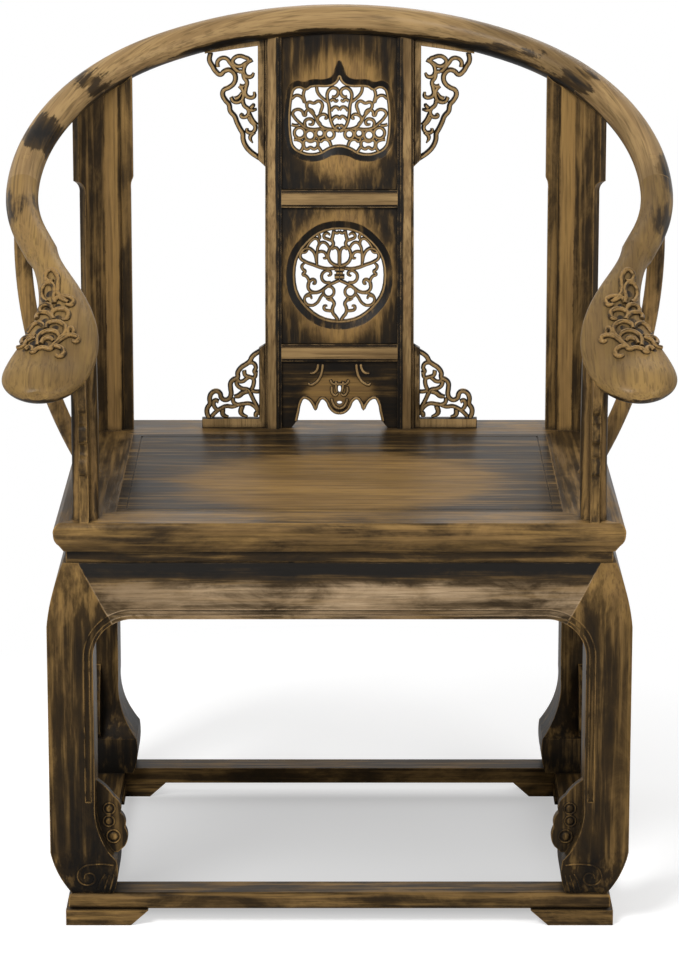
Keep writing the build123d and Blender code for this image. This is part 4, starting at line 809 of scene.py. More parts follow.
CARTOUCHE_HEIGHT = 0.866
CARTOUCHE_OUTER = [
    (0, 67.0),
    (4.5, 60.0),
    (9.3, 48.3),
    (15, 44.7),
    (35.4, 43.4),
    (43.5, 40.6),
    (53, 42),
    (61.5, 36.7),
    (65, 26.6),
    (65.4, -35.7),
    (60, -46.3),
    (48.4, -53.8),
    (35.4, -56.7),
    (20.9, -54.6),
    (10.7, -50.2),
    (0, -48.8),
]
CARTOUCHE_RIM = [
    (0, 47.5),
    (2.5, 42.5),
    (6.8, 38),
    (13.6, 35.8),
    (35.4, 34.8),
    (42, 31.2),
    (49, 34),
    (56, 32),
    (59.7, 24),
    (60, -34.3),
    (56.5, -41),
    (47.4, -46.5),
    (35.4, -49.2),
    (22.8, -47),
    (12.6, -41.5),
    (0, -38.6),
]
CARTOUCHE_STEMS = [
    Line((0, -19.8), (6.4, -16.2), (10, -9.6), (12.2, 0.5), (12.9, 10.6), (15, 19.3), (14.8, 26.6),
         (10.7, 31.9), (5.7, 32.4), (1.8, 29), (2.2, 24.6), (6.0, 21.4), (9.4, 22.6), thick=1.05),
    Line((11.6, 16.5), (7.4, 18.6), (4.4, 16.2), (1.6, 18.2)),
    Line((10.6, 4.4), (7.8, 8), (3.8, 9.2), (0, 5.6), tip=1.0),
    Line((9.6, -7), (6.4, -3.4), (2.6, -2.4), (0, -5.4), tip=1.0),
    Line((5.4, -16.8), (2.6, -13.4), (0, -14.6), tip=1.0),
    Line((28.6, 34.4), (27, 27), (21.6, 20.4), (14.6, 15.2), tip=1.0),
    Line((10, -18.6), (20.9, -15.6), (26.7, -9.6), (30.6, -2.2), (36.8, 4.8), (40.6, 10.8), (38, 15),
         (32, 13.8), (25.6, 16.4), (21.4, 12.4), (22.8, 5), (25.4, -0.6)),
    Line((23.5, -12.6), (27.4, -5.8), (23.4, -0.6), (17, -0.8), (16, -4.4), (19, -5.2)),
    Line((0, -20.4), (13.6, -17.8), (23.8, -17.8), (32.5, -18.4), (40.4, -16.9), (48.4, -11.1), (55.7, -3.8),
         (58, 1.6), (53, 6), (46.6, 4.4), (42.8, -1.4), (41.8, 3.2), (37, 6), (32.4, 2.2), (31.6, -3.6)),
    Line((42.5, -14.4), (43.2, -9.4), (38.8, -5.6), (32.8, -7.6), (33.6, -12), (38.6, -12.2)),
    Line((42.6, 32), (44.8, 24.6), (43.4, 17.4), (40.6, 11)),
    Line((59.2, 19.4), (53.4, 23.4), (46.6, 20.8), (43.4, 14.6), tip=1.0),
    Line((59.6, -12.4), (55.6, -13.4), (50.4, -13.4), tip=1.0),
    Line((56.8, -30.6), (51.6, -31.2), (46, -34.4), (45.4, -40.4), (49, -45.6), tip=1.0),
    Line((26.4, -26.6), (24, -33), (19.4, -30.4), (13.4, -32.2), (10.4, -38.4), tip=1.0),
    Line((27.6, -37.8), (23.6, -43.4), (20.6, -47.2), tip=1.0),
    circle(49.4, -22.6, 6.6),
    circle(36.6, -25.4, 6.2),
    circle(24.2, -23.0, 5.2),
    circle(12.2, -24.2, 5.6),
    Line((44.6, -36), (42.8, -31.4), (35.8, -33.2), (29, -31.6), (26.8, -37.6), (31.4, -42.2), (36, -40.4),
         (41.2, -42.4), closed=True),
]
MEDALLION_HEIGHT = 0.6715
MEDALLION_OUTER_RADIUS = 66.0
MEDALLION_RIM_RADIUS = 57.0
MEDALLION_STEMS = [
    Line((7, 53.6), (8.2, 47.5), (9.3, 42.5), (7.6, 37.6), (11.5, 32), (14, 26), (13.4, 19.7), (9.3, 14),
         (0, 10.4), thick=1.1, tip=1.0),
    Line((7, 53), (3.6, 50.6), (0, 52.4), tip=1.0),
    Line((0.4, 9.6), (0.5, 18.2), (0.6, 25.4), (1.8, 30.6), (5.2, 33.2), (9.6, 31.4), tip=1.0),
    Line((9, 41.4), (14, 43), (19.4, 46.4), (16.4, 50.6), (11.4, 48.2)),
    Line((28, 9.6), (28.3, 18.2), (27.7, 28.3), (25.8, 35.5), (20.8, 39.6), (15.6, 37.2), (12.2, 31.4),
         thick=0.95, tip=0.9),
    Line((27.4, 27.4), (21.6, 28.4), (17, 25.6), (16.6, 20.8), (20.6, 20.2)),
    Line((0, 8), (6.5, 8), (13.6, 7.4), (22.3, 8.7), (32.3, 12.3), (42.4, 16.1), (48.6, 21.2), (47.4, 27.6),
         (41, 32.6), (34.4, 30.4), (30, 24), (28.4, 15.4), thick=1.1, tip=0.9),
    Line((47, 27.2), (42.4, 27.8), (38.8, 31.2)),
    Line((41, 33), (35.2, 41.4), (29.4, 44.2), (25.6, 40.4), (26.6, 35.2)),
    Line((26.4, 50), (24.6, 45), (27.6, 42.6)),
    Line((6.2, 6.8), (0, 7.4), tip=1.0, thick=1.5),
    Line((4.4, 2.6), (0, 2.8), tip=1.0, thick=1.3),
    Line((6.2, -2.2), (0, -1.8), tip=1.0, thick=1.5),
    Line((11, -9.6), (18.7, -8.6), (22.2, -2.8), (19.8, 3.2), (13.4, 5), (10.8, 1), (14.6, -1.6)),
    Line((0, -6.4), (6.5, -9.2), (13.6, -12.8), (19.4, -17), (25.1, -20.6), (31.6, -21.4), (37.4, -18.4),
         (38.8, -11.9), (36, -6.8), (31.6, -6), (30.6, -10), (33.6, -11), thick=1.1),
    Line((38.6, -14), (38.2, -6.4), (41.8, -1.2), (45.4, 0.6), (42.6, 4.2), (45.6, 7), (46.6, 11),
         (42.6, 14.8)),
    circle(13.4, -20.6, 6.6, 0.95),
    Line((20.4, -20.4), (23.7, -27.7), (28.7, -34.9), (35.9, -37.4), (42.6, -33.6), (42.6, -26.8),
         (36.8, -22.8), (28.8, -21.8), closed=True, thick=0.95),
    Line((41.6, -26), (36.4, -25.6), (34.4, -29.4)),
    Line((11.5, -27), (8.6, -31.3), (6.6, -35), (8.6, -40.6), (8.2, -46.4), (4.8, -51), (2, -55), thick=1.1,
         tip=1.0),
    Line((8.4, -43.8), (13.6, -43.8), (18.7, -42), (18.6, -38.2), (15, -37.8)),
    Line((8.4, -31.2), (13, -30.2), (16.8, -28.6)),
    Line((44.6, -36.4), (40.6, -33.4), tip=1.0),
]
LOWER_PANEL_EDGE = [
    (60, 482),
    (54.5, 489),
    (52, 500),
    (49.4, 512),
    (45, 518.6),
    (39, 517.6),
    (33.6, 512),
    (29.8, 504),
    (27, 512.6),
    (22, 518.2),
    (16.4, 515.6),
    (11, 505.4),
    (5.5, 500.4),
    (0, 499),
]
LOWER_PANEL_STEMS = [
    Line((20.8, 563), (21.6, 555), (25, 545), (31, 538.6), (36.8, 537), (38.6, 539.6)),
    Line((26.4, 563), (27.6, 556.6), (31.6, 552), (37.6, 551.4)),
    Line((11.4, 543), (8.6, 538.4), (4, 537.6), (0, 537.6), tip=1.0),
    Line((9.6, 534.6), (9.4, 527.6), (5.4, 523.4), (1.6, 526)),
    Line((10, 519.6), (8.2, 513.4), (4.8, 508.6), (0, 506.6), tip=1.0),
    Line((4.4, 541.4), (4, 532.6), (2.8, 526.6)),
]
LOWER_PANEL_HOLES = [oval(0, 531, 5, 2, 90), oval(0, 513.6, 3.4, 2.4), oval(10.6, 530, 2.6, 1.5, 90)]

# Lines that are held in pixels of the front view, as the viewer's eye sees them

VIEWER = Vector((0.0, -3.262, 1.35))
VIEW_SCALE = 2702.0
VIEW_MIDDLE, VIEW_HORIZON = 339.5, -262.0
CORNER_PIXELS = 12.0
UPPER_CORNER = (212.0, 40.0)
UPPER_CORNER_DEPTH = 0.268
UPPER_CORNER_FRAME = Line(
    (-92, 964), (-130, 959), (-166, 951.5), (-166, 944.5), (-130, 948.5), (-101, 951.5), (-101, 812),
    (-92, 803), closed=True, sharp=range(8),
)
UPPER_CORNER_STEMS = [
    Line((70, 100), (58, 180), (92, 250), (130, 312), (182, 348), (222, 314), (280, 300), (334, 340),
         (350, 395), (330, 455), (280, 496), (218, 526), (204, 570), (236, 640), (276, 690), (290, 762),
         (340, 826), (364, 890), (400, 966), (430, 1022), (434, 1086), (466, 1166), (526, 1236),
         (592, 1286), (660, 1330), thick=1.15, tip=1.0),
    Line((150, 262), (148, 204), (196, 164), (252, 172), (290, 220), (328, 268), (368, 312),
         (392, 322), tip=0.9),
    Line((318, 206), (346, 162), (400, 148), (452, 164), (500, 196), (452, 240), (400, 264), (346, 250),
         closed=True),
    Line((540, 196), (480, 230), (446, 290), (450, 350), (484, 386), (530, 384), (556, 344)),
    Line((392, 322), (428, 330), (446, 392), (478, 446), (464, 520), (462, 584), (510, 622), (560, 610),
         (560, 560)),
    Line((392, 484), (432, 492), (470, 470)),
    Line((300, 606), (322, 652), (372, 668), (424, 640), (442, 588), (432, 530), (392, 486), tip=0.9),
    Line((340, 626), (384, 612), (420, 560)),
    Line((428, 640), (446, 706), (494, 756), (496, 806), (456, 838), (414, 822), (430, 796), tip=0.7),
    Line((494, 758), (540, 764), (590, 756)),
    Line((520, 740), (548, 712), (556, 690)),
    Line((494, 836), (526, 892), (572, 948), (560, 1000), (520, 1018), (478, 996), (480, 966), tip=0.7),
    Line((506, 806), (540, 876), (590, 936), tip=0.9),
    Line((560, 1010), (514, 1068), (542, 1136), tip=0.3),
]
LOWER_CORNER = (205.0, 330.0)
LOWER_CORNER_DEPTH = 0.213
LOWER_CORNER_FRAME = Line(
    (-92, 587), (-100, 582), (-100, 494), (-171, 494), (-171, 482), (-92, 482), closed=True, sharp=range(6)
)
LOWER_CORNER_STEMS = [
    Line((98, 884), (76, 832), (78, 770), (110, 716), (106, 650), (132, 590), (188, 568), (226, 592),
         (244, 648), (290, 672), (338, 648), (356, 600), (350, 534), (352, 470), (384, 432), (430, 408),
         (434, 350), (472, 292), (530, 252), (572, 220), (604, 162), (684, 104), (780, 60), thick=1.15,
         tip=1.0),
    Line((570, 232), (618, 240), (644, 290), (628, 344), (668, 350), tip=0.9),
    Line((508, 326), (520, 380), (566, 400), (612, 420), (616, 492), (590, 552), tip=1.0),
    Line((432, 410), (440, 446), (492, 452), (530, 424), (566, 400), tip=0.9),
    Line((640, 350), (636, 392), (614, 424), tip=0.8),
    Line((414, 446), (430, 500), (480, 536), (552, 552), (586, 606), (612, 664), (642, 720),
         (688, 800), tip=1.0),
    Line((586, 560), (636, 572), (700, 572), tip=1.0),
    Line((552, 566), (494, 584), (444, 622), (392, 632), thick=1.3, tip=0.7),
    Line((376, 648), (384, 700), (424, 726), (484, 722), (560, 714), (612, 736), (654, 782),
         (676, 850), tip=0.9),
    Line((128, 868), (180, 812), (240, 770), (300, 746), (370, 752), (430, 736), tip=0.9),
    Line((212, 692), (168, 676), (152, 716), (168, 764), (206, 794), tip=0.8),
    Line((256, 782), (262, 846), (322, 874), thick=1.2, tip=0.5),
    Line((486, 742), (470, 826), (544, 874), thick=1.2, tip=0.5),
    Line((640, 868), (646, 826), (690, 820), tip=0.8),
]


def traced(lines, corner, depth):
    """Lines in pixels, as lines in millimetres at a depth behind the seat's middle."""
    scale = VIEW_SCALE * MM / (depth - VIEWER.y)
    moved = []
    for line in lines:
        points = [
            (
                (corner[0] + across / CORNER_PIXELS - VIEW_MIDDLE) / scale,
                VIEWER.z / MM - (corner[1] + down / CORNER_PIXELS - VIEW_HORIZON) / scale,
            )
            for across, down in line.points
        ]
        moved.append(Line(*points, closed=line.closed, thick=line.thick, tip=line.tip))
    return moved


class CHAIR_OT_finish_frame(bpy.types.Operator):
    """Give every carried-over piece of the frame its rubbed lacquer finish"""

    bl_idname = "chair.finish_frame"
    bl_label = "Finish Frame"

    def execute(self, context):
        finish = context.scene.chair_finish
        groups["grain"] = build_wood_grain()
        groups["edge"] = build_edge_wear()
        groups["grime"] = build_grime()
        groups["spot"] = build_soft_spot()
        groups["rail"] = build_rail_coordinates()
        groups["lacquer"] = build_rubbed_lacquer(finish)
        grey, gold = finish.wood_grey, finish.golden_wood
        rail = lacquered("rubbed_rail", rail_wear, "rail", figure=0.6, stain=0.6, soft=0.03, polish=0.08)
        dress(rail, "crest_rail_center", "crest_left_shoulder", "crest_right_shoulder")
        olive = finish.olive_wood
        arm = lacquered("rubbed_arm", arm_wear, "rail", olive, figure=0.5, stain=0.55, soft=0.07, polish=0.1)
        dress(arm, "left_arm", "right_arm")
        dress(lacquered("dark_wedge", rail_wear, "rail", figure=0.5, soft=0.05), "scarf_wedges")
        post_x = (low("back_right_post").x + high("back_right_post").x) / 2
        post = lacquered("streaked_post", post_wear(post_x, 0.014), "Z", gold, figure=0.5, stain=0.5)
        dress(post, "back_left_post", "back_right_post")
        shade = lacquered("shaded_board", even(0.42), "Z", gold, figure=0.5, soft=0.14)
        dress(shade, "outer_left_spandrel", "outer_right_spandrel")
        dress(shade, "inner_left_spandrel", "inner_right_spandrel")
        front_x = (low("front_right_post").x + high("front_right_post").x) / 2
        front = lacquered("streaked_front_post", post_wear(front_x, 0.018, 0.2), "Z", gold, stain=0.6)
        dress(front, "front_left_post", "front_right_post")
        dress(shade, "front_left_spandrel", "front_right_spandrel")
        brace = lacquered("rubbed_brace", even(0.55), "Z", gold, stain=0.6)
        dress(brace, "left_side_brace", "right_side_brace")
        stile = lacquered("rubbed_stile", stile_wear, figure=0.7, stain=0.8, soft=0.06, polish=0.04)
        dress(stile, "splat_left_stile", "splat_right_stile")
        for node in ("splat_upper_rail", "splat_lower_rail"):
            dress(lacquered("rubbed_" + node, bar_wear(node), "X", stain=0.5, soft=0.08, polish=0.04), node)
        upper = (low("splat_upper_panel") + high("splat_upper_panel")) / 2
        halo = halo_wear((upper.x, upper.y, upper.z - 0.004), (0.1, 0.4, 0.122), 0.05, 0.9)
        lacquered("upper_board", halo, "Z", gold, stain=0.3, soft=0.2)
        middle = (low("splat_middle_panel") + high("splat_middle_panel")) / 2
        halo = halo_wear((middle.x, middle.y, middle.z), (0.107, 0.4, 0.128), 0.08, 0.95)
        lacquered("middle_board", halo, "Z", gold, stain=0.3, soft=0.2)
        lower = (low("splat_lower_panel") + high("splat_lower_panel")) / 2
        halo = halo_wear((lower.x, lower.y, lower.z + 0.004), (0.066, 0.4, 0.034), 0.08, 0.8)
        lacquered("lower_board", halo, "X", gold, soft=0.16)
        lacquered("cove", even(0.12), edge=0.6)
        # Painted highlight: the openwork, fretwork, vine and leg carving are lighter on faces that look
        # forward or up
        lacquered("openwork", front_wear_and_highlight(0.0, 0.84), figure=0.3, stain=0.4, soft=0.1, edge=0.0)
        lacquered("fretwork", fretwork_wear, figure=0.3, stain=0.5, soft=0.06, edge=0.4)
        carved = front_wear_and_highlight(0.5, 0.95)
        lacquered("vine", carved, "Y", gold, figure=0.3, stain=0.3, soft=0.08, edge=0.3, polish=0.1)
        lacquered("leg_carving", front_wear_and_highlight(0.1, 0.44), "Z", gold, stain=0.5, edge=0.2, shine=0.03)
        panel = lacquered(
            "rubbed_seat_panel",
            panel_wear,
            "X",
            gold,
            figure=0.75,
            stain=0.3,
            brown=1.0,
            soft=0.2,
            edge=0.5,
            shine=0.03,
        )
        dress(panel, "seat_panel")
        dress(lacquered("plain_batten", even(0.8), "Y"), "seat_left_batten", "seat_right_batten")
        across = lacquered("seat_rail_across", even(0.52), "X", gold, stain=0.7, soft=0.14)
        dress(across, "seat_front_rail", "seat_back_rail")
        deep = lacquered("seat_rail_deep", even(0.42), "Y", gold, stain=0.7, soft=0.14)
        dress(deep, "seat_left_rail", "seat_right_rail")
        dress(lacquered("dark_waist_across", even(0.4), "X", gold), "front_waist", "back_waist")
        dress(lacquered("dark_waist_deep", even(0.4), "Y", gold), "left_waist", "right_waist")
        across = lacquered("apron_across", apron_wear, "X", grey, figure=0.35, stain=0.35, soft=0.14)
        dress(across, "front_apron", "back_apron")
        deep = lacquered("apron_deep", apron_wear, "Y", grey, figure=0.35, stain=0.35, soft=0.14)
        dress(deep, "left_apron", "right_apron")
        leg = lacquered("streaked_leg", leg_wear, "Z", gold, stain=0.6, soft=0.16, edge=1.3, shine=0.03)
        dress(leg, "front_left_leg", "front_right_leg", "back_left_leg", "back_right_leg", "leg_spurs")
        across = lacquered("base_across", even(0.42), "X", gold, stain=0.8, soft=0.14, shine=0.04)
        dress(across, "base_front_rail", "base_back_rail")
        deep = lacquered("base_deep", even(0.3), "Y", gold, stain=0.8, soft=0.14, shine=0.03)
        dress(deep, "base_left_rail", "base_right_rail")
        foot = lacquered("floor_foot", even(0.48), "X", gold, stain=0.8, shine=0.04)
        dress(foot, "foot_front_left", "foot_front_right", "foot_back_left", "foot_back_right")
        return {"FINISHED"}


BOARD_THICKNESS = 9 * MM
BOARD_ROUNDING = 0.8 * MM
UPPER_BOARD_TOP = 969
UPPER_BOARD_SHOULDER = 965
COVE_FACE = 4.2 * MM
COVE_RIM_FRONT = 1.0 * MM
OPENWORK_RISE = 1.4 * MM
OPENWORK_DEEPEN = 1.5
UPPER_BAR = 4.6 * MM
BOARD_BAR = 4.4 * MM
LIP_DROP = 1.8
FRETWORK_THICKNESS = 9.6 * MM
FRETWORK_ROUNDING = 1.2 * MM
FRETWORK_BAR = 5.8 * MM


class CHAIR_OT_splat_panels(bpy.types.Operator):
    """Make the three boards of the splat, with their coves, rims and openwork"""

    bl_idname = "chair.splat_panels"
    bl_label = "Splat Panels"

    def execute(self, context):
        cover = finishes["openwork"]
        self.upper_panel(cover)
        self.middle_panel(cover)
        self.lower_panel(cover)
        return {"FINISHED"}

    def upper_panel(self, cover):
        """The board with the ogee opening."""
        half = high("splat_upper_panel").x / MM
        foot = low("splat_upper_panel").z / MM
        right_shoulder, left_shoulder = (half, UPPER_BOARD_SHOULDER), (-half, UPPER_BOARD_SHOULDER)
        corners = ((half, foot), right_shoulder, (0, UPPER_BOARD_TOP), left_shoulder, (-half, foot))
        edge = Line(*corners, closed=True, sharp=(0, 1, 3, 4))
        middle = CARTOUCHE_HEIGHT / MM
        outer = closed_half([(x, z) for x, z in CARTOUCHE_OUTER])
        hole = Line(*((x, z + middle) for x, z in outer.points), closed=True)
        flat = board(edge, [hole], BOARD_THICKNESS, BOARD_ROUNDING)
        add_piece("upper_board", stand(flat), finishes["upper_board"], ("splat_upper_panel",))
        rim = closed_half(CARTOUCHE_RIM)
        cove = ring((outer, -COVE_FACE), (rim, -COVE_RIM_FRONT), (rim, COVE_FACE), (outer, COVE_FACE))
        add_piece("upper_cove", stand(cove, CARTOUCHE_HEIGHT), finishes["cove"])
        bars = stems([rim, *both_sides(CARTOUCHE_STEMS)], UPPER_BAR)
        add_piece("upper_openwork", stand(bars, CARTOUCHE_HEIGHT, OPENWORK_RISE, OPENWORK_DEEPEN),
            cover)

    def middle_panel(self, cover):
        """The board with the round medallion."""
        half = high("splat_middle_panel").x / MM
        foot, head = low("splat_middle_panel").z / MM, high("splat_middle_panel").z / MM
        edge = Line((half, foot), (half, head), (-half, head), (-half, foot), closed=True, sharp=range(4))
        outer = circle(0, 0, MEDALLION_OUTER_RADIUS)
        hole = Line(*((x, z + MEDALLION_HEIGHT / MM) for x, z in outer.points), closed=True)
        flat = board(edge, [hole], BOARD_THICKNESS, BOARD_ROUNDING)
        cover_node = ("splat_middle_panel",)
        add_piece("middle_board", stand(flat), finishes["middle_board"], cover_node)
        rim = circle(0, 0, MEDALLION_RIM_RADIUS)
        cove = ring((outer, -COVE_FACE), (rim, -COVE_RIM_FRONT), (rim, COVE_FACE), (outer, COVE_FACE))
        add_piece("middle_cove", stand(cove, MEDALLION_HEIGHT), finishes["cove"])
        bars = stems([circle(0, 0, MEDALLION_RIM_RADIUS, 1.15), *both_sides(MEDALLION_STEMS)], BOARD_BAR)
        add_piece("middle_openwork", stand(bars, MEDALLION_HEIGHT, OPENWORK_RISE, OPENWORK_DEEPEN),
            cover)

    def lower_panel(self, cover):
        """The shaped board over the seat."""
        half = high("splat_lower_panel").x / MM
        head = high("splat_lower_panel").z / MM
        right = [(half, head), (half, LOWER_PANEL_EDGE[0][1]), *LOWER_PANEL_EDGE]
        edge = closed_half(right)
        count = len(edge.points)
        edge.sharp = (0, 1, 2, 9, len(right) + 4, count - 3, count - 2, count - 1)
        flat = board(edge, LOWER_PANEL_HOLES, BOARD_THICKNESS, BOARD_ROUNDING)
        add_piece("lower_board", stand(flat), finishes["lower_board"], ("splat_lower_panel",))
        lip = Line(*((x, z + LIP_DROP) for x, z in LOWER_PANEL_EDGE[1:]), tip=1.0, sharp=(6,))
        raised = stems(both_sides([lip, *LOWER_PANEL_STEMS]), BOARD_BAR)
        add_piece("lower_carving", stand(raised, 0.0, -COVE_FACE, 1.0), cover)


class CHAIR_OT_corner_spandrels(bpy.types.Operator):
    """Make the four openwork corners beside the splat"""

    bl_idname = "chair.corner_spandrels"
    bl_label = "Corner Spandrels"

    def execute(self, context):
        upper = traced(UPPER_CORNER_STEMS, UPPER_CORNER, UPPER_CORNER_DEPTH)
        lower = traced(LOWER_CORNER_STEMS, LOWER_CORNER, LOWER_CORNER_DEPTH)
        for side in ("left", "right"):
            self.corner(side, "upper", UPPER_CORNER_FRAME, upper, CORNER_TURN)
            self.corner(side, "lower", LOWER_CORNER_FRAME, lower, 0.0)
        return {"FINISHED"}

    def corner(self, side, level, frame_line, lines, turn):
        """One corner: a strip along the stile and the rail or seat, with scrolling bars."""
        if side == "right":
            frame_line = frame_line.mirrored()
            lines = [line.mirrored() for line in lines]
        flat = join_meshes(board(frame_line, [], FRETWORK_THICKNESS, FRETWORK_ROUNDING), stems(lines,
            FRETWORK_BAR))
        node = "%s_%s_corner" % (level, side)
        name = "%s_%s_fretwork" % (level, side)
        add_piece(name, stand(flat, deepen=1.3, turn=turn), finishes["fretwork"], (node,))


# Carving that lies on the frame. Each point of its lines goes to the first surface of its piece that
# the viewer's ray meets

HAND_REST_PIXELS = 8.0
HAND_REST_CORNER = (0.0, 225.0)
HAND_REST_STEMS = [
    Line((455, 345), (420, 345), (398, 308), (412, 268), (446, 250), (478, 278), (492, 330), (486, 395),
         (492, 452), (522, 462)),
    Line((402, 512), (376, 490), (366, 440), (384, 376), (420, 354), (452, 376), (462, 425), (452, 480),
         (470, 505)),
    Line((455, 520), (462, 492), (500, 468), (548, 464), (592, 482), (602, 512), (574, 536), (544, 526)),
    Line((498, 474), (532, 492), (562, 508)),
    Line((442, 652), (428, 612), (450, 580), (500, 566), (550, 580), (562, 612), (546, 642), (508, 652)),
    Line((343, 598), (352, 552), (386, 530), (426, 540), (442, 574)),
    Line((318, 645), (325, 610), (370, 592), (416, 610), (426, 644)),
    Line((233, 764), (250, 720), (300, 686), (352, 690), (368, 724)),
    Line((378, 726), (392, 690), (440, 668), (500, 678), (534, 720), (522, 770), (482, 805), (440, 850)),
    Line((300, 866), (310, 802), (350, 760), (410, 743), (460, 756), (482, 792)),
    Line((398, 892), (440, 852), (490, 812), (540, 782), (590, 780), (626, 800), (612, 830), (580, 822)),
    Line((548, 780), (552, 742), (574, 720), (592, 745), (586, 778)),
    Line((150, 880), (200, 862), (220, 830), (256, 806), (294, 796)),
    Line((206, 898), (234, 876), (262, 896), (258, 918), (300, 890), (350, 880), (400, 892), (432, 868),
         (474, 874), (504, 902), (502, 938), (470, 952), (440, 940)),
    Line((188, 852), (200, 810), (240, 790), (292, 782)),
    Line((330, 850), (356, 812), (402, 802), (430, 826)),
]
# Pits between the vines, darkened with painted shade and lacquer: across and down in pixels, radius in
# millimetres
HAND_REST_PITS = [
    (425, 440, 5.5),
    (480, 540, 4.6),
    (395, 565, 4.2),
    (480, 630, 4.4),
    (375, 657, 5.0),
    (325, 740, 5.6),
    (452, 712, 4.4),
    (412, 788, 4.2),
    (272, 838, 5.0),
    (362, 846, 4.0),
    (202, 892, 4.0),
]
FOOT_PIXELS = 7.0
FOOT_CORNER = (40.0, 740.0)
FOOT_STEMS = [
    Line((462, 992), (400, 984), (320, 986), (250, 1000), (206, 1050), (214, 1108), (265, 1138),
         (318, 1122), (330, 1082), (302, 1052), (262, 1060), (252, 1092)),
    Line((352, 1172), (374, 1104), (402, 1056)),
    Line((392, 1190), (410, 1130), (432, 1066)),
    Line((432, 1190), (450, 1130), (466, 1060)),
]
SPUR_BEADS = [(440, 555, 42), (436, 650, 40), (468, 765, 48)]


def node_surface(name):
    """A search tree over a CAD node's surface."""
    shape = bmesh.new()
    shape.from_mesh(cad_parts[name].data)
    tree = BVHTree.FromBMesh(shape)
    shape.free()
    return tree


def land(tree, pixels, corner, point):
    """The place and the normal where the viewer's ray through a pixel first meets a surface."""
    across = corner[0] + point[0] / pixels - VIEW_MIDDLE
    down = corner[1] + point[1] / pixels - VIEW_HORIZON
    ray = Vector((across / VIEW_SCALE, 1.0, -down / VIEW_SCALE)).normalized()
    place, normal, _, _ = tree.ray_cast(VIEWER, ray)
    return place, normal


def vine(tree, pixels, corner, lines, thickness, lift):
    """Round stems that follow a surface."""
    laid = []
    for line in lines:
        spots = [land(tree, pixels, corner, point) for point in line.points]
        points = [tuple(place + normal * lift) for place, normal in spots if place]
        if len(points) > 1:
            laid.append(Line(*points, closed=line.closed, thick=line.thick, tip=line.tip))
    return draw(laid, scale=1.0, bevel_depth=thickness / 2, bevel_resolution=3, use_fill_caps=True)


def mirror_mesh(mesh, flip):
    """A mirrored copy of a mesh, with its faces outwards."""
    shape = bmesh.new()
    shape.from_mesh(mesh)
    bmesh.ops.transform(shape, matrix=flip, verts=shape.verts)
    bmesh.ops.reverse_faces(shape, faces=shape.faces)
    copy = bpy.data.meshes.new("mirrored")
    shape.to_mesh(copy)
    shape.free()
    return copy


VINE_THICKNESS = 6.0 * MM
VINE_LIFT = 0.9 * MM
SCROLL_THICKNESS = 2.6 * MM
SCROLL_LIFT = 0.1 * MM
BEAD_SHARE = 0.72
BEAD_FLATNESS = 0.55
BEAD_RING = 1.3 * MM
FLANK_ACROSS = 0.070
FLANK_BEHIND = 0.078
SIDE_TO_SIDE = Matrix.Diagonal((-1.0, 1.0, 1.0, 1.0))
FRONT_TO_BACK = Matrix.Diagonal((1.0, -1.0, 1.0, 1.0))
FACE_TO_FLANK = Matrix(((0, 1, 0, -FLANK_ACROSS), (1, 0, 0, FLANK_BEHIND), (0, 0, 1, 0), (0, 0, 0, 1)))


class CHAIR_OT_hand_rest_carving(bpy.types.Operator):
    """Carve scrolling vines on the two hand-rests"""

    bl_idname = "chair.hand_rest_carving"
    bl_label = "Hand-rest Carving"

    def execute(self, context):
        tree = node_surface("left_arm")
        left = vine(tree, HAND_REST_PIXELS, HAND_REST_CORNER, HAND_REST_STEMS, VINE_THICKNESS, VINE_LIFT)
        smooth(left)
        right = mirror_mesh(left, SIDE_TO_SIDE)
        smooth(right)
        add_piece("left_vine", left, finishes["vine"])
        add_piece("right_vine", right, finishes["vine"])
        return {"FINISHED"}


class CHAIR_OT_leg_carving(bpy.types.Operator):
    """Carve the scrolls on the feet and the beads on the spurs"""

    bl_idname = "chair.leg_carving"
    bl_label = "Leg Carving"

    def execute(self, context):
        leg = node_surface("front_left_leg")
        scroll = vine(leg, FOOT_PIXELS, FOOT_CORNER, FOOT_STEMS, SCROLL_THICKNESS, SCROLL_LIFT)
        beads = self.beads(node_surface("leg_spurs"))
        flank = mirror_mesh(beads, FACE_TO_FLANK)
        back_left = mirror_mesh(join_meshes(scroll.copy(), flank.copy()), FRONT_TO_BACK)
        front_left = join_meshes(scroll, beads, flank)
        front_right = mirror_mesh(front_left, SIDE_TO_SIDE)
        back_right = mirror_mesh(back_left, SIDE_TO_SIDE)
        for name, mesh in (
            ("front_left_leg_carving", front_left),
            ("front_right_leg_carving", front_right),
            ("back_left_leg_carving", back_left),
            ("back_right_leg_carving", back_right),
        ):
            smooth(mesh)
            add_piece(name, mesh, finishes["leg_carving"])
        return {"FINISHED"}

    def beads(self, spurs):
        """Three ringed beads down one spur."""
        shape = bmesh.new()
        for x, z, reach in SPUR_BEADS:
            place, _ = land(spurs, FOOT_PIXELS, FOOT_CORNER, (x, z))
            size = reach / FOOT_PIXELS / VIEW_SCALE * (place - VIEWER).y
            flat = Matrix.Translation(place) @ Matrix.Diagonal((1.0, BEAD_FLATNESS, 1.0, 1.0))
            radius = size * BEAD_SHARE
            bmesh.ops.create_uvsphere(shape, u_segments=24, v_segments=12, radius=radius, matrix=flat)
            round_line = circle(0, 0, size / MM)
            mesh = draw([round_line], bevel_depth=BEAD_RING, bevel_resolution=3)
            mesh.transform(Matrix.Translation(place) @ Matrix.Rotation(math.radians(90), 4, "X"))
            shape.from_mesh(mesh)
            bpy.data.meshes.remove(mesh)
        whole = bpy.data.meshes.new("beads")
        shape.to_mesh(whole)
        shape.free()
        return whole


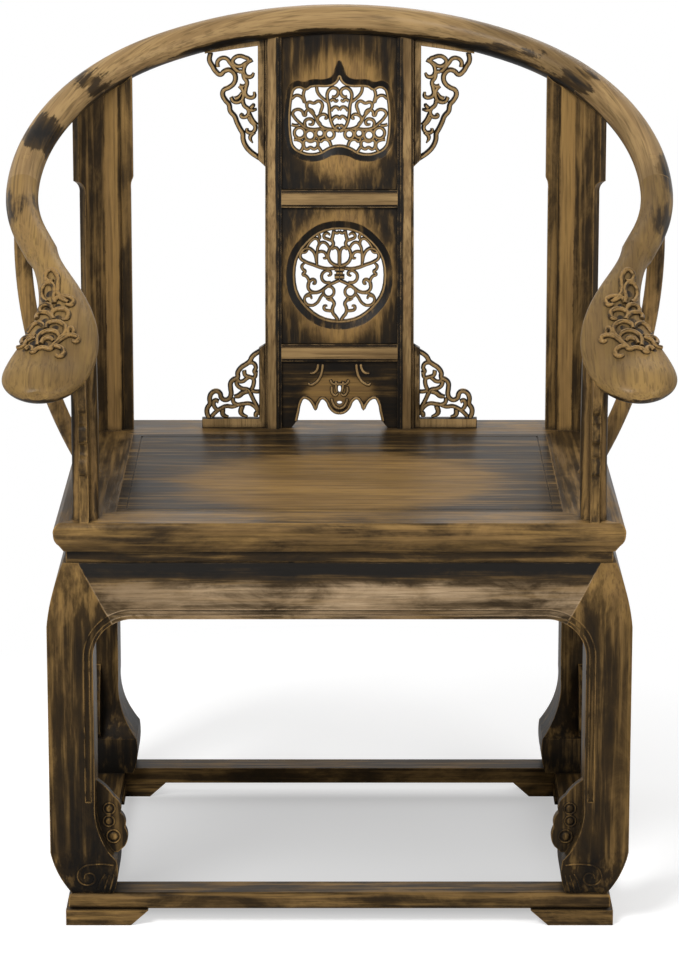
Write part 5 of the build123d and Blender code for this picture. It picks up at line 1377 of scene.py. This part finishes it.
KEY_LIGHT = ((-1.3, -2.2, 2.9), (0.0, 0.0, 0.55), 1.2)
FILL_LIGHT = ((2.3, -2.0, 1.7), (0.0, 0.0, 0.5), 1.8)
BACK_LIGHT = ((0.4, 2.2, 2.5), (0.0, 0.1, 0.7), 1.8)
FLOOR_SIZE = 14.0
FLOOR_COLOR = (0.86, 0.86, 0.86, 1.0)
# Painted shadow: the floor's grey under the chair, inset within the floor frame and softened at its edge
FLOOR_SHADOW_COLOR = (0.3, 0.3, 0.3, 1.0)
FLOOR_FADE = (0.5, 0.95)
SHADOW_INSET = 0.02
SHADOW_SOFTNESS = 0.03
WHITE = (1.0, 1.0, 1.0, 1.0)
ROOM_STRENGTH = 0.34
SENSOR = 36.0


class CHAIR_OT_stage(bpy.types.Operator):
    """Set the pale floor, the soft light and the camera"""

    bl_idname = "chair.stage"
    bl_label = "Stage"

    def execute(self, context):
        stage = context.scene.chair_stage
        self.lay_floor()
        self.light("key_light", *KEY_LIGHT, stage.key_power)
        self.light("fill_light", *FILL_LIGHT, stage.fill_power)
        self.light("back_light", *BACK_LIGHT, stage.fill_power)
        self.light_world(context.scene)
        self.set_camera(context.scene, stage)
        context.scene.view_settings.view_transform = "Standard"
        return {"FINISHED"}

    def lay_floor(self):
        """A wide pale floor that looks white to the camera, with a painted grey shadow under the chair."""
        shape = bmesh.new()
        bmesh.ops.create_grid(shape, x_segments=2, y_segments=2, size=FLOOR_SIZE / 2)
        mesh = bpy.data.meshes.new("floor")
        shape.to_mesh(mesh)
        shape.free()
        floor = bpy.data.objects.new("floor", mesh)
        bpy.context.collection.objects.link(floor)
        material = bpy.data.materials.new("pale_floor")
        material.use_nodes = True
        n = Nodes(material.node_tree)
        place = object_place(n)
        x, y, _ = n.split(place)
        reach_x, reach_y = high("base_right_rail").x - SHADOW_INSET, high("base_back_rail").y - SHADOW_INSET
        soft = SHADOW_SOFTNESS
        # Painted shadow: a soft grey rectangle within the floor frame
        painted_shadow = n.math(
            "MULTIPLY",
            n.ramp(n.math("ABSOLUTE", x), reach_x + soft, reach_x - soft),
            n.ramp(n.math("ABSOLUTE", y), reach_y + soft, reach_y - soft),
        )
        color = n.mix(painted_shadow, FLOOR_COLOR, FLOOR_SHADOW_COLOR)
        plain = n.add("ShaderNodeBsdfDiffuse", {"Color": color})
        glow = n.add("ShaderNodeEmission", {"Color": color, "Strength": n.blend(painted_shadow, 0.5, 1.45)})
        both = n.add("ShaderNodeAddShader", {0: plain.outputs[0], 1: glow.outputs[0]})
        white = n.add("ShaderNodeEmission", {"Color": WHITE, "Strength": 1.0})
        away = n.ramp(n.vector("LENGTH", n.join(x, y, 0.0)), *FLOOR_FADE)
        faded = n.add("ShaderNodeMixShader", {0: away, 1: both.outputs[0], 2: white.outputs[0]})
        seen = n.add("ShaderNodeLightPath").outputs["Is Camera Ray"]
        shown = n.add("ShaderNodeMixShader", {0: seen, 1: plain.outputs[0], 2: faded.outputs[0]})
        n.add("ShaderNodeOutputMaterial", {"Surface": shown.outputs[0]})
        mesh.materials.append(material)

    def light(self, name, where, target, size, power):
        """Add a square soft light that faces a target."""
        lamp = bpy.data.lights.new(name, "AREA")
        lamp.energy = power
        lamp.size = size
        holder = bpy.data.objects.new(name, lamp)
        holder.location = where
        holder.rotation_euler = (Vector(target) - Vector(where)).to_track_quat("-Z", "Y").to_euler()
        bpy.context.collection.objects.link(holder)

    def light_world(self, scene):
        """A plain world: white behind the chair, softer as a light."""
        world = bpy.data.worlds.new("studio")
        world.use_nodes = True
        n = Nodes(world.node_tree)
        path = n.add("ShaderNodeLightPath").outputs
        clear = n.math("ADD", path["Is Glossy Ray"], path["Is Transmission Ray"])
        seen = n.math("ADD", path["Is Camera Ray"], clear, clamp=True)
        soft = n.add("ShaderNodeBackground", {"Color": WHITE, "Strength": ROOM_STRENGTH})
        white = n.add("ShaderNodeBackground", {"Color": WHITE, "Strength": 1.0})
        both = n.add("ShaderNodeMixShader", {0: seen, 1: soft.outputs[0], 2: white.outputs[0]})
        n.add("ShaderNodeOutputWorld", {"Surface": both.outputs[0]})
        scene.world = world

    def set_camera(self, scene, stage):
        """Stand the camera in front of the chair."""
        lens = bpy.data.cameras.new("camera")
        lens.sensor_width = SENSOR
        lens.lens = stage.focal_pixels * SENSOR / IMAGE_HEIGHT
        lens.shift_y = stage.shift
        lens.clip_end = 50.0
        camera = bpy.data.objects.new("camera", lens)
        camera.location = (0.0, -stage.camera_distance, stage.camera_height)
        camera.rotation_euler = (math.radians(90) - stage.camera_pitch, 0.0, 0.0)
        bpy.context.collection.objects.link(camera)
        scene.camera = camera


class CHAIR_PT_panel(bpy.types.Panel):
    """Armchair operators and settings"""

    bl_label = "Horseshoe Back Armchair"
    bl_idname = "CHAIR_PT_panel"
    bl_space_type = "VIEW_3D"
    bl_region_type = "UI"
    bl_category = "Armchair"

    def draw(self, context):
        for operator in steps:
            self.layout.operator(operator.bl_idname)
        for settings in (context.scene.chair_finish, context.scene.chair_stage):
            for name in settings.__annotations__:
                self.layout.prop(settings, name)


steps = (
    CHAIR_OT_stage,
    CHAIR_OT_finish_frame,
    CHAIR_OT_splat_panels,
    CHAIR_OT_corner_spandrels,
    CHAIR_OT_hand_rest_carving,
    CHAIR_OT_leg_carving,
)
classes = (ChairFinish, ChairStage, *steps, CHAIR_PT_panel)


def register():
    for item in classes:
        bpy.utils.register_class(item)
    bpy.types.Scene.chair_finish = bpy.props.PointerProperty(type=ChairFinish)
    bpy.types.Scene.chair_stage = bpy.props.PointerProperty(type=ChairStage)


def unregister():
    del bpy.types.Scene.chair_stage
    del bpy.types.Scene.chair_finish
    for item in reversed(classes):
        bpy.utils.unregister_class(item)


def main():
    register()
    bpy.ops.chair.stage()
    bpy.ops.chair.finish_frame()
    bpy.ops.chair.splat_panels()
    bpy.ops.chair.corner_spandrels()
    bpy.ops.chair.hand_rest_carving()
    bpy.ops.chair.leg_carving()


if __name__ == "__main__":
    main()
